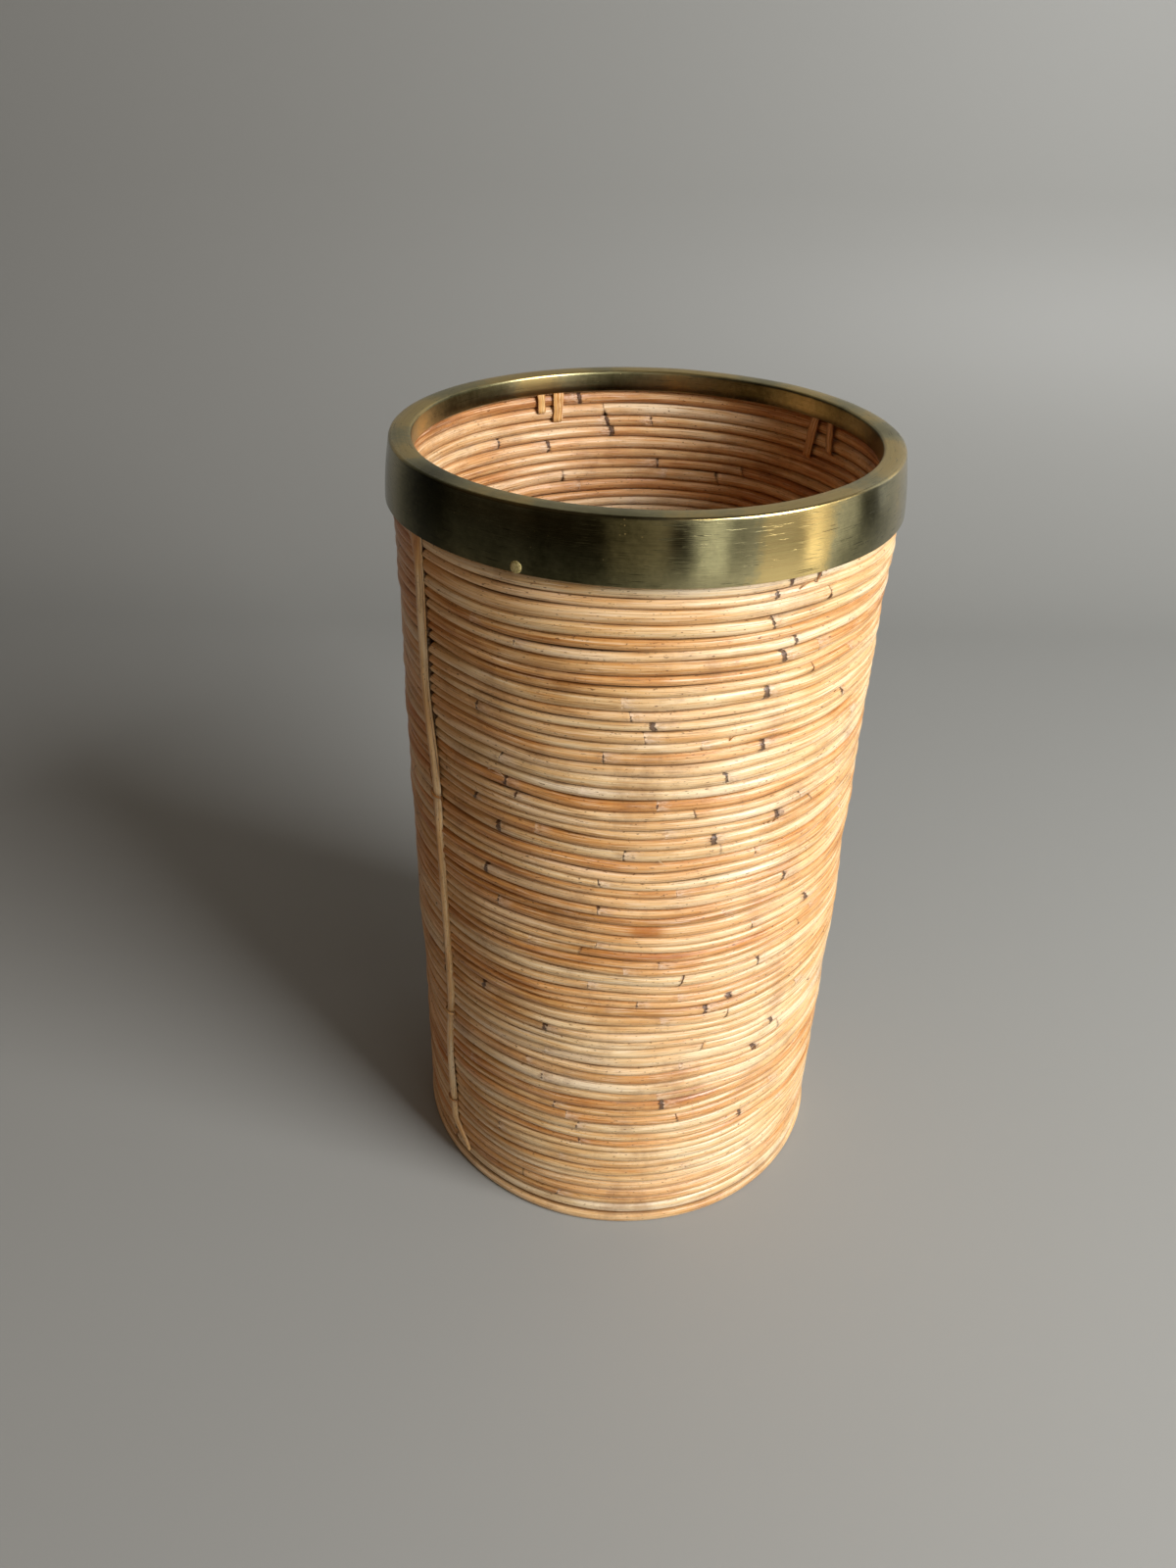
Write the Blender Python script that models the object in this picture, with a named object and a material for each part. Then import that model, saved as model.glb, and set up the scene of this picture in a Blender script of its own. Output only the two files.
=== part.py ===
"""Round umbrella stand: two layers of stacked pencil reed, tied to flat cane stakes,
capped by a brass channel rim and closed by a plywood base on a bent foot ring.

Metres, +Z up. The origin is on the floor, at the centre of the foot.
Azimuths are degrees from the front (-Y) towards the right (+X).
"""
import math

import bmesh
import bpy
from mathutils import Vector

# Overall sizes
TOTAL_HEIGHT = 0.462
RIM_DIAMETER = 0.270
FACETS = 32
FIT_GAP = 0.0003

# Brass rim, a channel bent from sheet and dropped over the wall
BRASS_THICKNESS = 0.0009
BAND_HEIGHT = 0.031
BAND_FLARE = 0.0035
BAND_STANDOFF = 0.0026
LIP_HEIGHT = 0.0117
RIM_ROUNDING = 0.0014

# Wooden hoop inside the channel
HOOP_HEIGHT = 0.0115

# Brass tacks through the band
TACK_AZIMUTHS = (-26.0, 103.0, 218.0)
TACK_RISE = 0.0028
TACK_HEAD_RADIUS = 0.0027
TACK_HEAD_THICKNESS = 0.0008
TACK_SHANK_RADIUS = 0.0007
TACK_BITE = 0.0020
TACK_SIDES = 12

# Reed courses
REED_PITCH = 0.0063
REED_DEPTH = 0.0038
VALLEY_DEPTH = 0.0014
BANDS_PER_LAYER = 8

# Flat cane stakes, in pairs between the two layers
STAKE_AZIMUTHS = (34.0, 122.0, 206.5, 305.0)
STAKE_THICKNESS = 0.0011
STAKE_WIDTH = 0.0055
STAKE_SPREAD = 0.0126

# Flat cane lashings under the inner lip, one pair beside each pair of stakes
LASH_THICKNESS = 0.0008
LASH_WIDTH = 0.0050
LASH_TUCK = 0.0050
LASH_COURSES = ((3.0, 4.0), (3.0, 4.0), (3.0, 2.0), (4.0, 3.0))

# Seam, where the courses end, and the half-round reed that covers it
SEAM_AZIMUTH = -54.2
SEAM_WIDTH = 0.0016
COVER_WIDTH = 0.0052
COVER_DEPTH = 0.0020
COVER_TUCK = 0.0080
COVER_STATIONS = 40
# Share of the covered height, and azimuth there; the foot end curls forward
COVER_PATH = ((1.0, -56.5), (0.80, -57.0), (0.64, -54.2), (0.32, -53.0), (0.17, -55.4), (0.05, -54.8), (0.0, -48.0))
COVER_CLEARANCE = 0.0050
STRAND_WIDTH = 0.0016
STRAND_DEPTH = 0.0012
STRAND_SHARE = 0.70
STRAND_STATIONS = 12
TIE_SHARES = (0.64, 0.27, 0.085)
TIE_HEIGHT = 0.0014
TIE_THICKNESS = 0.0006

# Foot ring and base
FOOT_HEIGHT = 0.0070
FOOT_PROUD = 0.0010
FOOT_LEDGE = 0.0030
FOOT_ROUNDING = 0.0016
BASE_THICKNESS = 0.0080

# Radii of the wall, worked inwards from the rim
RIM_RADIUS = RIM_DIAMETER / 2
OUTER_CREST = RIM_RADIUS - BRASS_THICKNESS - BAND_STANDOFF
OUTER_BACK = OUTER_CREST - REED_DEPTH
STAKE_OUTSIDE = OUTER_BACK - FIT_GAP
STAKE_INSIDE = STAKE_OUTSIDE - STAKE_THICKNESS
INNER_BACK = STAKE_INSIDE - FIT_GAP
INNER_CREST = INNER_BACK - REED_DEPTH
LASH_OUTSIDE = INNER_CREST - FIT_GAP
LASH_INSIDE = LASH_OUTSIDE - LASH_THICKNESS
LIP_OUTSIDE = LASH_INSIDE - FIT_GAP
LIP_INSIDE = LIP_OUTSIDE - BRASS_THICKNESS

# Heights, worked from the floor up and from the rim down
BAND_BOTTOM = TOTAL_HEIGHT - BAND_HEIGHT
LIP_BOTTOM = TOTAL_HEIGHT - LIP_HEIGHT
HOOP_TOP = TOTAL_HEIGHT - BRASS_THICKNESS - FIT_GAP
HOOP_BOTTOM = HOOP_TOP - HOOP_HEIGHT
COURSES_TOP = HOOP_BOTTOM - FIT_GAP
OUTER_COURSES_BOTTOM = FOOT_HEIGHT + FIT_GAP
BASE_BOTTOM = FOOT_HEIGHT + FIT_GAP
BASE_TOP = BASE_BOTTOM + BASE_THICKNESS
INNER_COURSES_BOTTOM = BASE_TOP + FIT_GAP


def clear_scene():
    for old in list(bpy.data.objects):
        bpy.data.objects.remove(old, do_unlink=True)


def make_material(name, colour, roughness, metallic=0.0):
    material = bpy.data.materials.new(name)
    material.use_nodes = True
    shader = material.node_tree.nodes["Principled BSDF"]
    shader.inputs["Base Color"].default_value = (*colour, 1.0)
    shader.inputs["Roughness"].default_value = roughness
    shader.inputs["Metallic"].default_value = metallic
    return material


def radial(azimuth):
    angle = math.radians(azimuth)
    return Vector((math.sin(angle), -math.cos(angle), 0.0))


def tangent(azimuth):
    angle = math.radians(azimuth)
    return Vector((math.cos(angle), math.sin(angle), 0.0))


def facet_radius(radius, azimuth):
    """Distance to a faceted ring's flat side at an azimuth, for corners at `radius`."""
    step = 360.0 / FACETS
    offset = azimuth % step - step / 2
    return radius * math.cos(math.radians(step / 2)) / math.cos(math.radians(offset))


def band_inside(height):
    """Inside radius of the flared brass band at a height."""
    rise = (height - BAND_BOTTOM) / BAND_HEIGHT
    return RIM_RADIUS - BRASS_THICKNESS - BAND_FLARE * rise


def add_object(name, shape, material, smooth=True):
    """Turns a bmesh into a finished object, with its faces pointing out."""
    bmesh.ops.recalc_face_normals(shape, faces=shape.faces)
    mesh = bpy.data.meshes.new(name)
    shape.to_mesh(mesh)
    shape.free()
    if smooth:
        mesh.shade_smooth()
        mesh.set_sharp_from_angle(angle=math.radians(40))
    thing = bpy.data.objects.new(name, mesh)
    if material:
        mesh.materials.append(material)
    bpy.context.collection.objects.link(thing)
    return thing


def turned_ring(name, profile, material):
    """Spins a closed outline of (radius, height) points once round the axis."""
    shape = bmesh.new()
    points = [shape.verts.new((radius, 0.0, height)) for radius, height in profile]
    edges = [shape.edges.new((a, b)) for a, b in zip(points, points[1:] + points[:1])]
    bmesh.ops.spin(
        shape,
        geom=points + edges,
        axis=(0.0, 0.0, 1.0),
        cent=(0.0, 0.0, 0.0),
        angle=math.tau,
        steps=FACETS,
        use_merge=True,
    )
    return add_object(name, shape, material)


def swept_body(name, sections, material, smooth=True):
    """Skins a row of sections, each the same number of points, and caps both ends."""
    shape = bmesh.new()
    rings = [[shape.verts.new(point) for point in section] for section in sections]
    for lower, upper in zip(rings, rings[1:]):
        for i in range(len(lower)):
            j = (i + 1) % len(lower)
            shape.faces.new((lower[i], lower[j], upper[j], upper[i]))
    shape.faces.new(rings[0])
    shape.faces.new(rings[-1])
    return add_object(name, shape, material, smooth)


def make_cutter(name, shape):
    cutter = add_object(name, shape, None, smooth=False)
    cutter.hide_render = True
    cutter.display_type = "WIRE"
    return cutter


def cut(thing, cutter):
    step = thing.modifiers.new("cut_" + cutter.name, "BOOLEAN")
    step.operation = "DIFFERENCE"
    step.solver = "EXACT"
    step.object = cutter


def lay_box(name, azimuth, inside, outside, width, bottom, top, material):
    """Flat strip standing against the faceted wall, following it where it turns a corner."""
    step = 360.0 / FACETS
    half = math.degrees(width / 2 / outside)
    first, last = azimuth - half, azimuth + half
    corners = [k * step for k in range(math.ceil(first / step), math.floor(last / step) + 1)]
    turns = [first] + corners + [last]
    outline = [radial(a) * facet_radius(inside, a) for a in turns]
    outline += [radial(a) * facet_radius(outside, a) for a in reversed(turns)]
    sections = [[point + Vector((0, 0, height)) for point in outline] for height in (bottom, top)]
    return swept_body(name, sections, material, smooth=False)


def make_rim(material):
    """Channel: flared band outside, flat top with soft edges, short lip inside."""
    top = TOTAL_HEIGHT
    under = TOTAL_HEIGHT - BRASS_THICKNESS
    flared = RIM_RADIUS - BAND_FLARE
    soft = RIM_ROUNDING
    profile = [
        (RIM_RADIUS, BAND_BOTTOM),
        (RIM_RADIUS - BRASS_THICKNESS, BAND_BOTTOM),
        (band_inside(under), under),
        (LIP_OUTSIDE, under),
        (LIP_OUTSIDE, LIP_BOTTOM),
        (LIP_INSIDE, LIP_BOTTOM),
        (LIP_INSIDE, top - soft),
        (LIP_INSIDE + soft * 0.3, top - soft * 0.3),
        (LIP_INSIDE + soft, top),
        (flared - soft, top),
        (flared - soft * 0.3, top - soft * 0.3),
        (flared, top - soft),
    ]
    return turned_ring("brass_rim", profile, material)


def make_hoop(material):
    outside = band_inside(HOOP_TOP) - FIT_GAP
    profile = [
        (outside, HOOP_TOP),
        (outside, HOOP_BOTTOM),
        (INNER_CREST, HOOP_BOTTOM),
        (INNER_CREST, HOOP_TOP),
    ]
    return turned_ring("rim_hoop", profile, material)


def course_groups(bottom, top):
    """Shares the courses that fit between two heights over the bands, bottom band first."""
    count = max(BANDS_PER_LAYER, round((top - bottom) / REED_PITCH))
    pitch = (top - bottom) / count
    marks = [round(band * count / BANDS_PER_LAYER) for band in range(BANDS_PER_LAYER + 1)]
    groups = []
    for first, last in zip(marks, marks[1:]):
        groups.append((bottom + first * pitch, last - first, pitch))
    return groups


def make_outer_bands(material, seam_cutter):
    """Outer layer: each band is a run of courses, crest and valley, open at the seam."""
    valley = OUTER_CREST - VALLEY_DEPTH
    bands = []
    for number, (bottom, count, pitch) in enumerate(course_groups(OUTER_COURSES_BOTTOM, COURSES_TOP), 1):
        low = bottom + FIT_GAP / 2
        high = bottom + count * pitch - FIT_GAP / 2
        profile = [(OUTER_BACK, high), (valley, high)]
        for course in reversed(range(count)):
            profile.append((OUTER_CREST, bottom + (course + 0.5) * pitch))
            if course:
                profile.append((valley, bottom + course * pitch))
        profile += [(valley, low), (OUTER_BACK, low)]
        band = turned_ring("outer_reed_band_%d" % number, profile, material)
        cut(band, seam_cutter)
        bands.append(band)
    return bands


def make_inner_bands(material, seam_cutter):
    """Inner layer: the same runs of courses, plain inside because nothing seats on them."""
    for number, (bottom, count, pitch) in enumerate(course_groups(INNER_COURSES_BOTTOM, COURSES_TOP), 1):
        low = bottom + FIT_GAP / 2
        high = bottom + count * pitch - FIT_GAP / 2
        profile = [(INNER_BACK, high), (INNER_BACK, low), (INNER_CREST, low), (INNER_CREST, high)]
        band = turned_ring("inner_reed_band_%d" % number, profile, material)
        cut(band, seam_cutter)


def make_seam_cutter():
    """Radial slab that opens every course at the seam."""
    half = tangent(SEAM_AZIMUTH) * SEAM_WIDTH / 2
    near = radial(SEAM_AZIMUTH) * (INNER_CREST - 4 * REED_DEPTH)
    far = radial(SEAM_AZIMUTH) * (OUTER_CREST + REED_DEPTH)
    shape = bmesh.new()
    corners = [near - half, near + half, far + half, far - half]
    face = shape.faces.new([shape.verts.new(corner) for corner in corners])
    wall = bmesh.ops.extrude_face_region(shape, geom=[face])
    lifted = [item for item in wall["geom"] if isinstance(item, bmesh.types.BMVert)]
    bmesh.ops.translate(shape, verts=lifted, vec=(0.0, 0.0, TOTAL_HEIGHT))
    return make_cutter("seam_cutter", shape)


def pair_azimuths(centre):
    """The two strips of a pair, either side of its middle."""
    half = math.degrees(STAKE_SPREAD / 2 / STAKE_OUTSIDE)
    return centre - half, centre + half


def make_stakes(material):
    number = 0
    for centre in STAKE_AZIMUTHS:
        for azimuth in pair_azimuths(centre):
            number += 1
            lay_box(
                "stake_%d" % number, azimuth, STAKE_INSIDE, STAKE_OUTSIDE,
                STAKE_WIDTH, BASE_BOTTOM, COURSES_TOP, material,
            )


def make_lashes(material):
    number = 0
    for centre, runs in zip(STAKE_AZIMUTHS, LASH_COURSES):
        for azimuth, courses in zip(pair_azimuths(centre), runs):
            number += 1
            lay_box(
                "inner_lash_%d" % number, azimuth, LASH_INSIDE, LASH_OUTSIDE,
                LASH_WIDTH, LIP_BOTTOM - courses * REED_PITCH, LIP_BOTTOM + LASH_TUCK, material,
            )


def tack_frame(azimuth):
    """Point on the band's outside, and the direction square to its flared side."""
    height = BAND_BOTTOM + TACK_RISE
    surface = facet_radius(band_inside(height) + BRASS_THICKNESS, azimuth)
    lean = math.atan2(BAND_FLARE, BAND_HEIGHT)
    direction = radial(azimuth) * math.cos(lean) + Vector((0, 0, 1)) * math.sin(lean)
    return radial(azimuth) * surface + Vector((0, 0, height)), direction


def tack_length():
    """From the band's outside to the tip, which bites into the reed behind."""
    return BRASS_THICKNESS + BAND_STANDOFF + TACK_BITE


def round_section(centre, direction, radius):
    side = direction.cross(Vector((0, 0, 1))).normalized()
    up = side.cross(direction)
    points = []
    for k in range(TACK_SIDES):
        angle = math.tau * k / TACK_SIDES
        points.append(centre + (side * math.cos(angle) + up * math.sin(angle)) * radius)
    return points


def make_tack(number, azimuth, material):
    """Turned tack: thin round head outside the band, straight shank into the reed."""
    point, out = tack_frame(azimuth)
    tip = -tack_length()
    steps = [
        (tip, TACK_SHANK_RADIUS * 0.5),
        (tip + TACK_SHANK_RADIUS, TACK_SHANK_RADIUS),
        (FIT_GAP, TACK_SHANK_RADIUS),
        (FIT_GAP, TACK_HEAD_RADIUS),
        (FIT_GAP + TACK_HEAD_THICKNESS * 0.5, TACK_HEAD_RADIUS),
        (FIT_GAP + TACK_HEAD_THICKNESS, TACK_HEAD_RADIUS * 0.6),
    ]
    sections = [round_section(point + out * along, out, radius) for along, radius in steps]
    swept_body("rim_tack_%d" % number, sections, material)


def make_tack_cutter(name, start, end):
    """Clearance drillings for all the tacks, between two distances along them."""
    shape = bmesh.new()
    for azimuth in TACK_AZIMUTHS:
        point, out = tack_frame(azimuth)
        rings = []
        for along in (start, end):
            section = round_section(point + out * along, out, TACK_SHANK_RADIUS + FIT_GAP)
            rings.append([shape.verts.new(corner) for corner in section])
        for i in range(TACK_SIDES):
            j = (i + 1) % TACK_SIDES
            shape.faces.new((rings[0][i], rings[0][j], rings[1][j], rings[1][i]))
        shape.faces.new(rings[0])
        shape.faces.new(rings[1])
    return make_cutter(name, shape)


def cover_azimuth(share):
    """Azimuth of the seam cover at a share of its height, eased between its path points."""
    for (upper, start), (lower, end) in zip(COVER_PATH, COVER_PATH[1:]):
        if share >= lower:
            part = (upper - share) / (upper - lower)
            ease = part * part * (3 - 2 * part)
            return start + (end - start) * ease
    return COVER_PATH[-1][1]


def cover_height(share):
    low = OUTER_COURSES_BOTTOM + COVER_CLEARANCE
    return low + (BAND_BOTTOM + COVER_TUCK - low) * share


def resting_radius(azimuth, half_width):
    """How far out a flat-backed section stands to clear the faceted crests with both its edges."""
    step = 360.0 / FACETS
    lean = math.radians(azimuth % step - step / 2)
    side = OUTER_CREST * math.cos(math.radians(step / 2)) + FIT_GAP
    return (side + half_width * abs(math.sin(lean))) / math.cos(lean)


def half_round(azimuth, height, width, depth):
    """Half-round section lying on the crests, flat side in, squeezed where the brass is close."""
    ground = resting_radius(azimuth, width / 2)
    if height >= BAND_BOTTOM - REED_PITCH:
        ceiling = facet_radius(band_inside(max(height, BAND_BOTTOM)) - FIT_GAP, azimuth)
        depth = min(depth, ceiling - ground)
    middle = radial(azimuth) * ground + Vector((0, 0, height))
    points = []
    for k in range(7):
        angle = math.pi * k / 6
        sideways = tangent(azimuth) * math.cos(angle) * width / 2
        outwards = radial(azimuth) * math.sin(angle) * depth
        points.append(middle + sideways + outwards)
    return points


def make_cover(material):
    sections = []
    for k in range(COVER_STATIONS + 1):
        share = 1 - k / COVER_STATIONS
        sections.append(half_round(cover_azimuth(share), cover_height(share), COVER_WIDTH, COVER_DEPTH))
    swept_body("seam_cover", sections, material)


def make_strand(material):
    """Thinner reed beside the cover's upper part, on the side of the seam's opening."""
    beside = math.degrees(((COVER_WIDTH + STRAND_WIDTH) / 2 + FIT_GAP) / OUTER_CREST)
    sections = []
    for k in range(STRAND_STATIONS + 1):
        share = 1 - (1 - STRAND_SHARE) * k / STRAND_STATIONS
        azimuth = cover_azimuth(share) + beside
        sections.append(half_round(azimuth, cover_height(share), STRAND_WIDTH, STRAND_DEPTH))
    swept_body("seam_strand", sections, material)


def make_tie(number, share, material):
    """Strip of cane bowed over the cover, with its ends down on the courses."""
    azimuth = cover_azimuth(share)
    inner = (COVER_WIDTH / 2 + 1.5 * FIT_GAP, COVER_DEPTH + FIT_GAP)
    outer = (inner[0] + TIE_THICKNESS, inner[1] + TIE_THICKNESS)
    ground = resting_radius(azimuth, outer[0])
    turns = [math.pi * k / 8 for k in range(9)]
    arch = [(outer[0] * math.cos(a), outer[1] * math.sin(a)) for a in turns]
    arch += [(inner[0] * math.cos(a), inner[1] * math.sin(a)) for a in reversed(turns)]
    sections = []
    for height in (cover_height(share) - TIE_HEIGHT / 2, cover_height(share) + TIE_HEIGHT / 2):
        middle = radial(azimuth) * ground + Vector((0, 0, height))
        sections.append([middle + tangent(azimuth) * x + radial(azimuth) * y for x, y in arch])
    swept_body("seam_tie_%d" % number, sections, material)


def make_foot(material):
    """Bent hoop under both layers; its outside stands a little proud of the courses."""
    outside = OUTER_CREST + FOOT_PROUD
    inside = INNER_CREST - FOOT_LEDGE
    soft = FOOT_ROUNDING
    profile = [
        (outside - soft, FOOT_HEIGHT),
        (outside, FOOT_HEIGHT - soft),
        (outside, soft),
        (outside - soft, 0.0),
        (inside, 0.0),
        (inside, FOOT_HEIGHT),
    ]
    return turned_ring("foot_ring", profile, material)


def make_base(material):
    """Plywood disc that rests on the foot ring, inside the stakes."""
    shape = bmesh.new()
    bmesh.ops.create_circle(shape, cap_ends=True, segments=FACETS, radius=INNER_BACK)
    bmesh.ops.translate(shape, verts=shape.verts, vec=(0.0, 0.0, BASE_BOTTOM))
    disc = bmesh.ops.extrude_face_region(shape, geom=shape.faces[:])
    lifted = [item for item in disc["geom"] if isinstance(item, bmesh.types.BMVert)]
    bmesh.ops.translate(shape, verts=lifted, vec=(0.0, 0.0, BASE_THICKNESS))
    return add_object("base_disc", shape, material, smooth=False)


def build():
    clear_scene()
    brass = make_material("aged_brass", (0.20, 0.15, 0.055), 0.38, 1.0)
    reed = make_material("pencil_reed", (0.66, 0.42, 0.20), 0.55)
    cane = make_material("flat_cane", (0.50, 0.30, 0.13), 0.50)
    plywood = make_material("plywood", (0.52, 0.36, 0.20), 0.70)
    seam_cutter = make_seam_cutter()
    rim = make_rim(brass)
    make_hoop(plywood)
    outer_bands = make_outer_bands(reed, seam_cutter)
    make_inner_bands(reed, seam_cutter)
    make_stakes(cane)
    make_lashes(cane)
    through = make_tack_cutter("tack_cutter", -tack_length() - FIT_GAP, TACK_HEAD_THICKNESS)
    cut(rim, through)
    cut(outer_bands[-1], through)
    for number, azimuth in enumerate(TACK_AZIMUTHS, 1):
        make_tack(number, azimuth, brass)
    make_cover(reed)
    make_strand(reed)
    for number, share in enumerate(TIE_SHARES, 1):
        make_tie(number, share, cane)
    make_foot(reed)
    make_base(plywood)


build()
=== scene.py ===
import math
import random

import bmesh
import bpy
import numpy as np
from mathutils import Matrix, Vector, noise


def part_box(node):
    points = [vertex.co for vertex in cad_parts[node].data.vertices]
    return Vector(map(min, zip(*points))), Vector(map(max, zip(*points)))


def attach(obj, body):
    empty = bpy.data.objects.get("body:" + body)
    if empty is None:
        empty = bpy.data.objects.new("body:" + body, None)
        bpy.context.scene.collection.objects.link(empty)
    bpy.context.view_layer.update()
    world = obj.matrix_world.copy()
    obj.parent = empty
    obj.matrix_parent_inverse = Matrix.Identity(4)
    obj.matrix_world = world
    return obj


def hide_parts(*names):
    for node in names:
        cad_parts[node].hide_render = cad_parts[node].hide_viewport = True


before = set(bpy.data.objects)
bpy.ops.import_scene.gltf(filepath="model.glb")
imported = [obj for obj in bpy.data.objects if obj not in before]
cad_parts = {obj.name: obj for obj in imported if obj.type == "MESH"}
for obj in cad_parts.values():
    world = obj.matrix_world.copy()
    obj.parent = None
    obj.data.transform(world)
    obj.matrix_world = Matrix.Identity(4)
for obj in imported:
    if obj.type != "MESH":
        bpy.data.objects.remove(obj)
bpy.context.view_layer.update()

# Lengths are in metres. Azimuths are degrees from the front (-Y) towards the right (+X).
rimLow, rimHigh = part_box("brass_rim")
rimRadius = rimHigh.x
rimTop = rimHigh.z
bandBottom = rimLow.z
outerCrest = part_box("outer_reed_band_1")[1].x
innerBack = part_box("inner_reed_band_1")[1].x
bandCount = 8
lengthLayers = ("place", "marks", "wear")


def hexColour(code):
    # sRGB hex to linear rgba
    parts = [int(code[i:i + 2], 16) / 255 for i in (1, 3, 5)]
    linear = [c / 12.92 if c <= 0.04045 else ((c + 0.055) / 1.055) ** 2.4 for c in parts]
    return (*linear, 1.0)


def addNode(tree, kind, settings=None, links=None):
    # settings go to sockets by name or number, or to the node's own fields; "stops" fills a colour ramp
    node = tree.nodes.new("ShaderNode" + kind)
    for key, value in (settings or {}).items():
        if key == "stops":
            ramp = node.color_ramp.elements
            while len(ramp) < len(value):
                ramp.new(1.0)
            for element, (position, colour) in zip(ramp, value):
                element.position = position
                plain = not isinstance(colour, str)
                element.color = (colour, colour, colour, 1.0) if plain else hexColour(colour)
        elif isinstance(key, int) or key in node.inputs:
            node.inputs[key].default_value = value
        else:
            setattr(node, key, value)
    for key, source in (links or {}).items():
        tree.links.new(source, node.inputs[key])
    return node


def newMaterial(name):
    material = bpy.data.materials.new(name)
    material.use_nodes = True
    tree = material.node_tree
    return material, tree, tree.nodes["Principled BSDF"]


def outward(azimuth):
    angle = math.radians(azimuth)
    return Vector((math.sin(angle), -math.cos(angle), 0.0))


def sideways(azimuth):
    angle = math.radians(azimuth)
    return Vector((math.cos(angle), math.sin(angle), 0.0))


def ease(value):
    return value * value * (3 - 2 * value)


def newBody():
    bm = bmesh.new()
    for name in lengthLayers:
        bm.verts.layers.float_vector.new(name)
    return bm


def finishPiece(name, bm, material, replaced, sharpest=50):
    mesh = bpy.data.meshes.new(name)
    bm.to_mesh(mesh)
    bm.free()
    mesh.materials.append(material)
    mesh.shade_smooth()
    mesh.set_sharp_from_angle(angle=math.radians(sharpest))
    piece = bpy.data.objects.new(name, mesh)
    bpy.context.scene.collection.objects.link(piece)
    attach(piece, "root")
    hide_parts(*replaced)
    return piece


def reedMaterial(name, stops, gloss):
    # Peeled rattan core under clear varnish: long fine fibres, each length its own shade,
    # dark ragged rings at the nodes with a pale scuffed scar beside them, and painted shade in the grooves
    # between courses and under the strips.
    material, tree, shader = newMaterial(name)
    place = addNode(tree, "Attribute", {"attribute_name": "place"}).outputs["Vector"]
    marks = addNode(tree, "Attribute", {"attribute_name": "marks"}).outputs["Vector"]
    wear = addNode(tree, "Attribute", {"attribute_name": "wear"}).outputs["Vector"]
    after, before, tone = addNode(tree, "SeparateXYZ", links={"Vector": marks}).outputs
    end, stain, grooveShade = addNode(tree, "SeparateXYZ", links={"Vector": wear}).outputs
    seed = addNode(tree, "SeparateXYZ", links={"Vector": place}).outputs[2]

    def grain(scale, detail, roughness=0.5):
        # noise stretched along the length; the scale is repeats per metre along and around
        space = addNode(tree, "Mapping", {"Scale": scale}, {"Vector": place})
        return addNode(tree, "TexNoise", {"Scale": 1.0, "Detail": detail, "Roughness": roughness},
                       {"Vector": space.outputs["Vector"]}).outputs["Fac"]

    def mask(source, low, high):
        rises = low < high
        pair = [(low, 0.0), (high, 1.0)] if rises else [(high, 1.0), (low, 0.0)]
        return addNode(tree, "ValToRGB", {"stops": pair}, {"Fac": source}).outputs["Color"]

    def calculate(operation, *values):
        plain = {i: value for i, value in enumerate(values) if isinstance(value, float)}
        linked = {i: value for i, value in enumerate(values) if not isinstance(value, float)}
        return addNode(tree, "Math", {"operation": operation, **plain}, linked).outputs[0]

    def mix(share, under, over):
        # `over` shows where the share is 1
        linked = {"Fac": share, "Color1": under}
        return addNode(tree, "MixRGB", {"Color2": hexColour(over)}, linked).outputs["Color"]

    fibre = grain((13, 950, 37), 4.0, 0.62)      # about 1 mm wide and 75 mm long, coarser than life
    thread = grain((45, 2300, 19), 3.0, 0.55)    # 0.4 mm wide dark threads
    cloud = grain((22, 110, 11), 3.0)            # broad drifts of shade
    scuff = grain((230, 620, 3), 5.0, 0.68)      # broken up skin at the nodes
    fleck = grain((420, 1300, 5), 2.0, 0.4)      # pin flecks, about 2 mm by 0.7 mm

    shade = calculate("MULTIPLY_ADD", fibre, 1.4, tone)
    shade = calculate("MULTIPLY_ADD", cloud, 1.2, shade)
    shade = calculate("SUBTRACT", shade, 1.26)
    colour = addNode(tree, "ValToRGB", {"stops": stops}, {"Fac": shade}).outputs["Color"]
    # some lengths are rosier than others
    hue = addNode(tree, "TexNoise", {"noise_dimensions": "1D", "Scale": 2.7, "Detail": 0.0}, {"W": seed})
    colour = addNode(tree, "MixRGB", {"blend_type": "MULTIPLY", "Color2": hexColour("#FFEEDD")},
                     {"Fac": mask(hue.outputs["Fac"], 0.42, 0.62), "Color1": colour}).outputs["Color"]
    colour = mix(calculate("MULTIPLY", mask(thread, 0.43, 0.29), 0.55), colour, "#FAEBD2")
    colour = mix(calculate("MULTIPLY", mask(thread, 0.55, 0.70), 0.75), colour, "#8E5C2D")
    # handling has left dull brown smears across neighbouring courses
    here = addNode(tree, "TexCoord").outputs["Object"]
    smear = addNode(tree, "TexNoise", {"Scale": 26.0, "Detail": 6.0, "Roughness": 0.68}, {"Vector": here})
    colour = mix(calculate("MULTIPLY", mask(smear.outputs["Fac"], 0.53, 0.68), 0.42), colour, "#8B5C36")
    colour = mix(calculate("MULTIPLY", mask(fleck, 0.66, 0.73), 0.85), colour, "#6B4220")

    # scuffed scar after each node, paler and pinker
    scar = calculate("MULTIPLY", mask(after, 0.55, 0.06), mask(scuff, 0.42, 0.60))
    colour = mix(calculate("MULTIPLY", scar, 0.62), colour, "#E9CDB2")
    nearest = calculate("MINIMUM", after, before)
    bruise = calculate("MULTIPLY", mask(nearest, 0.24, 0.02), mask(scuff, 0.49, 0.38))
    colour = mix(calculate("MULTIPLY", bruise, 0.65), colour, "#8E5C40")

    # ragged dark ring at the node, thick here and broken there
    ragged = calculate("MULTIPLY_ADD", scuff, 0.30, nearest)
    ring = mask(ragged, 0.180, 0.148)
    colour = mix(calculate("MULTIPLY", ring, 0.88), colour, "#4B2D18")
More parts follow.
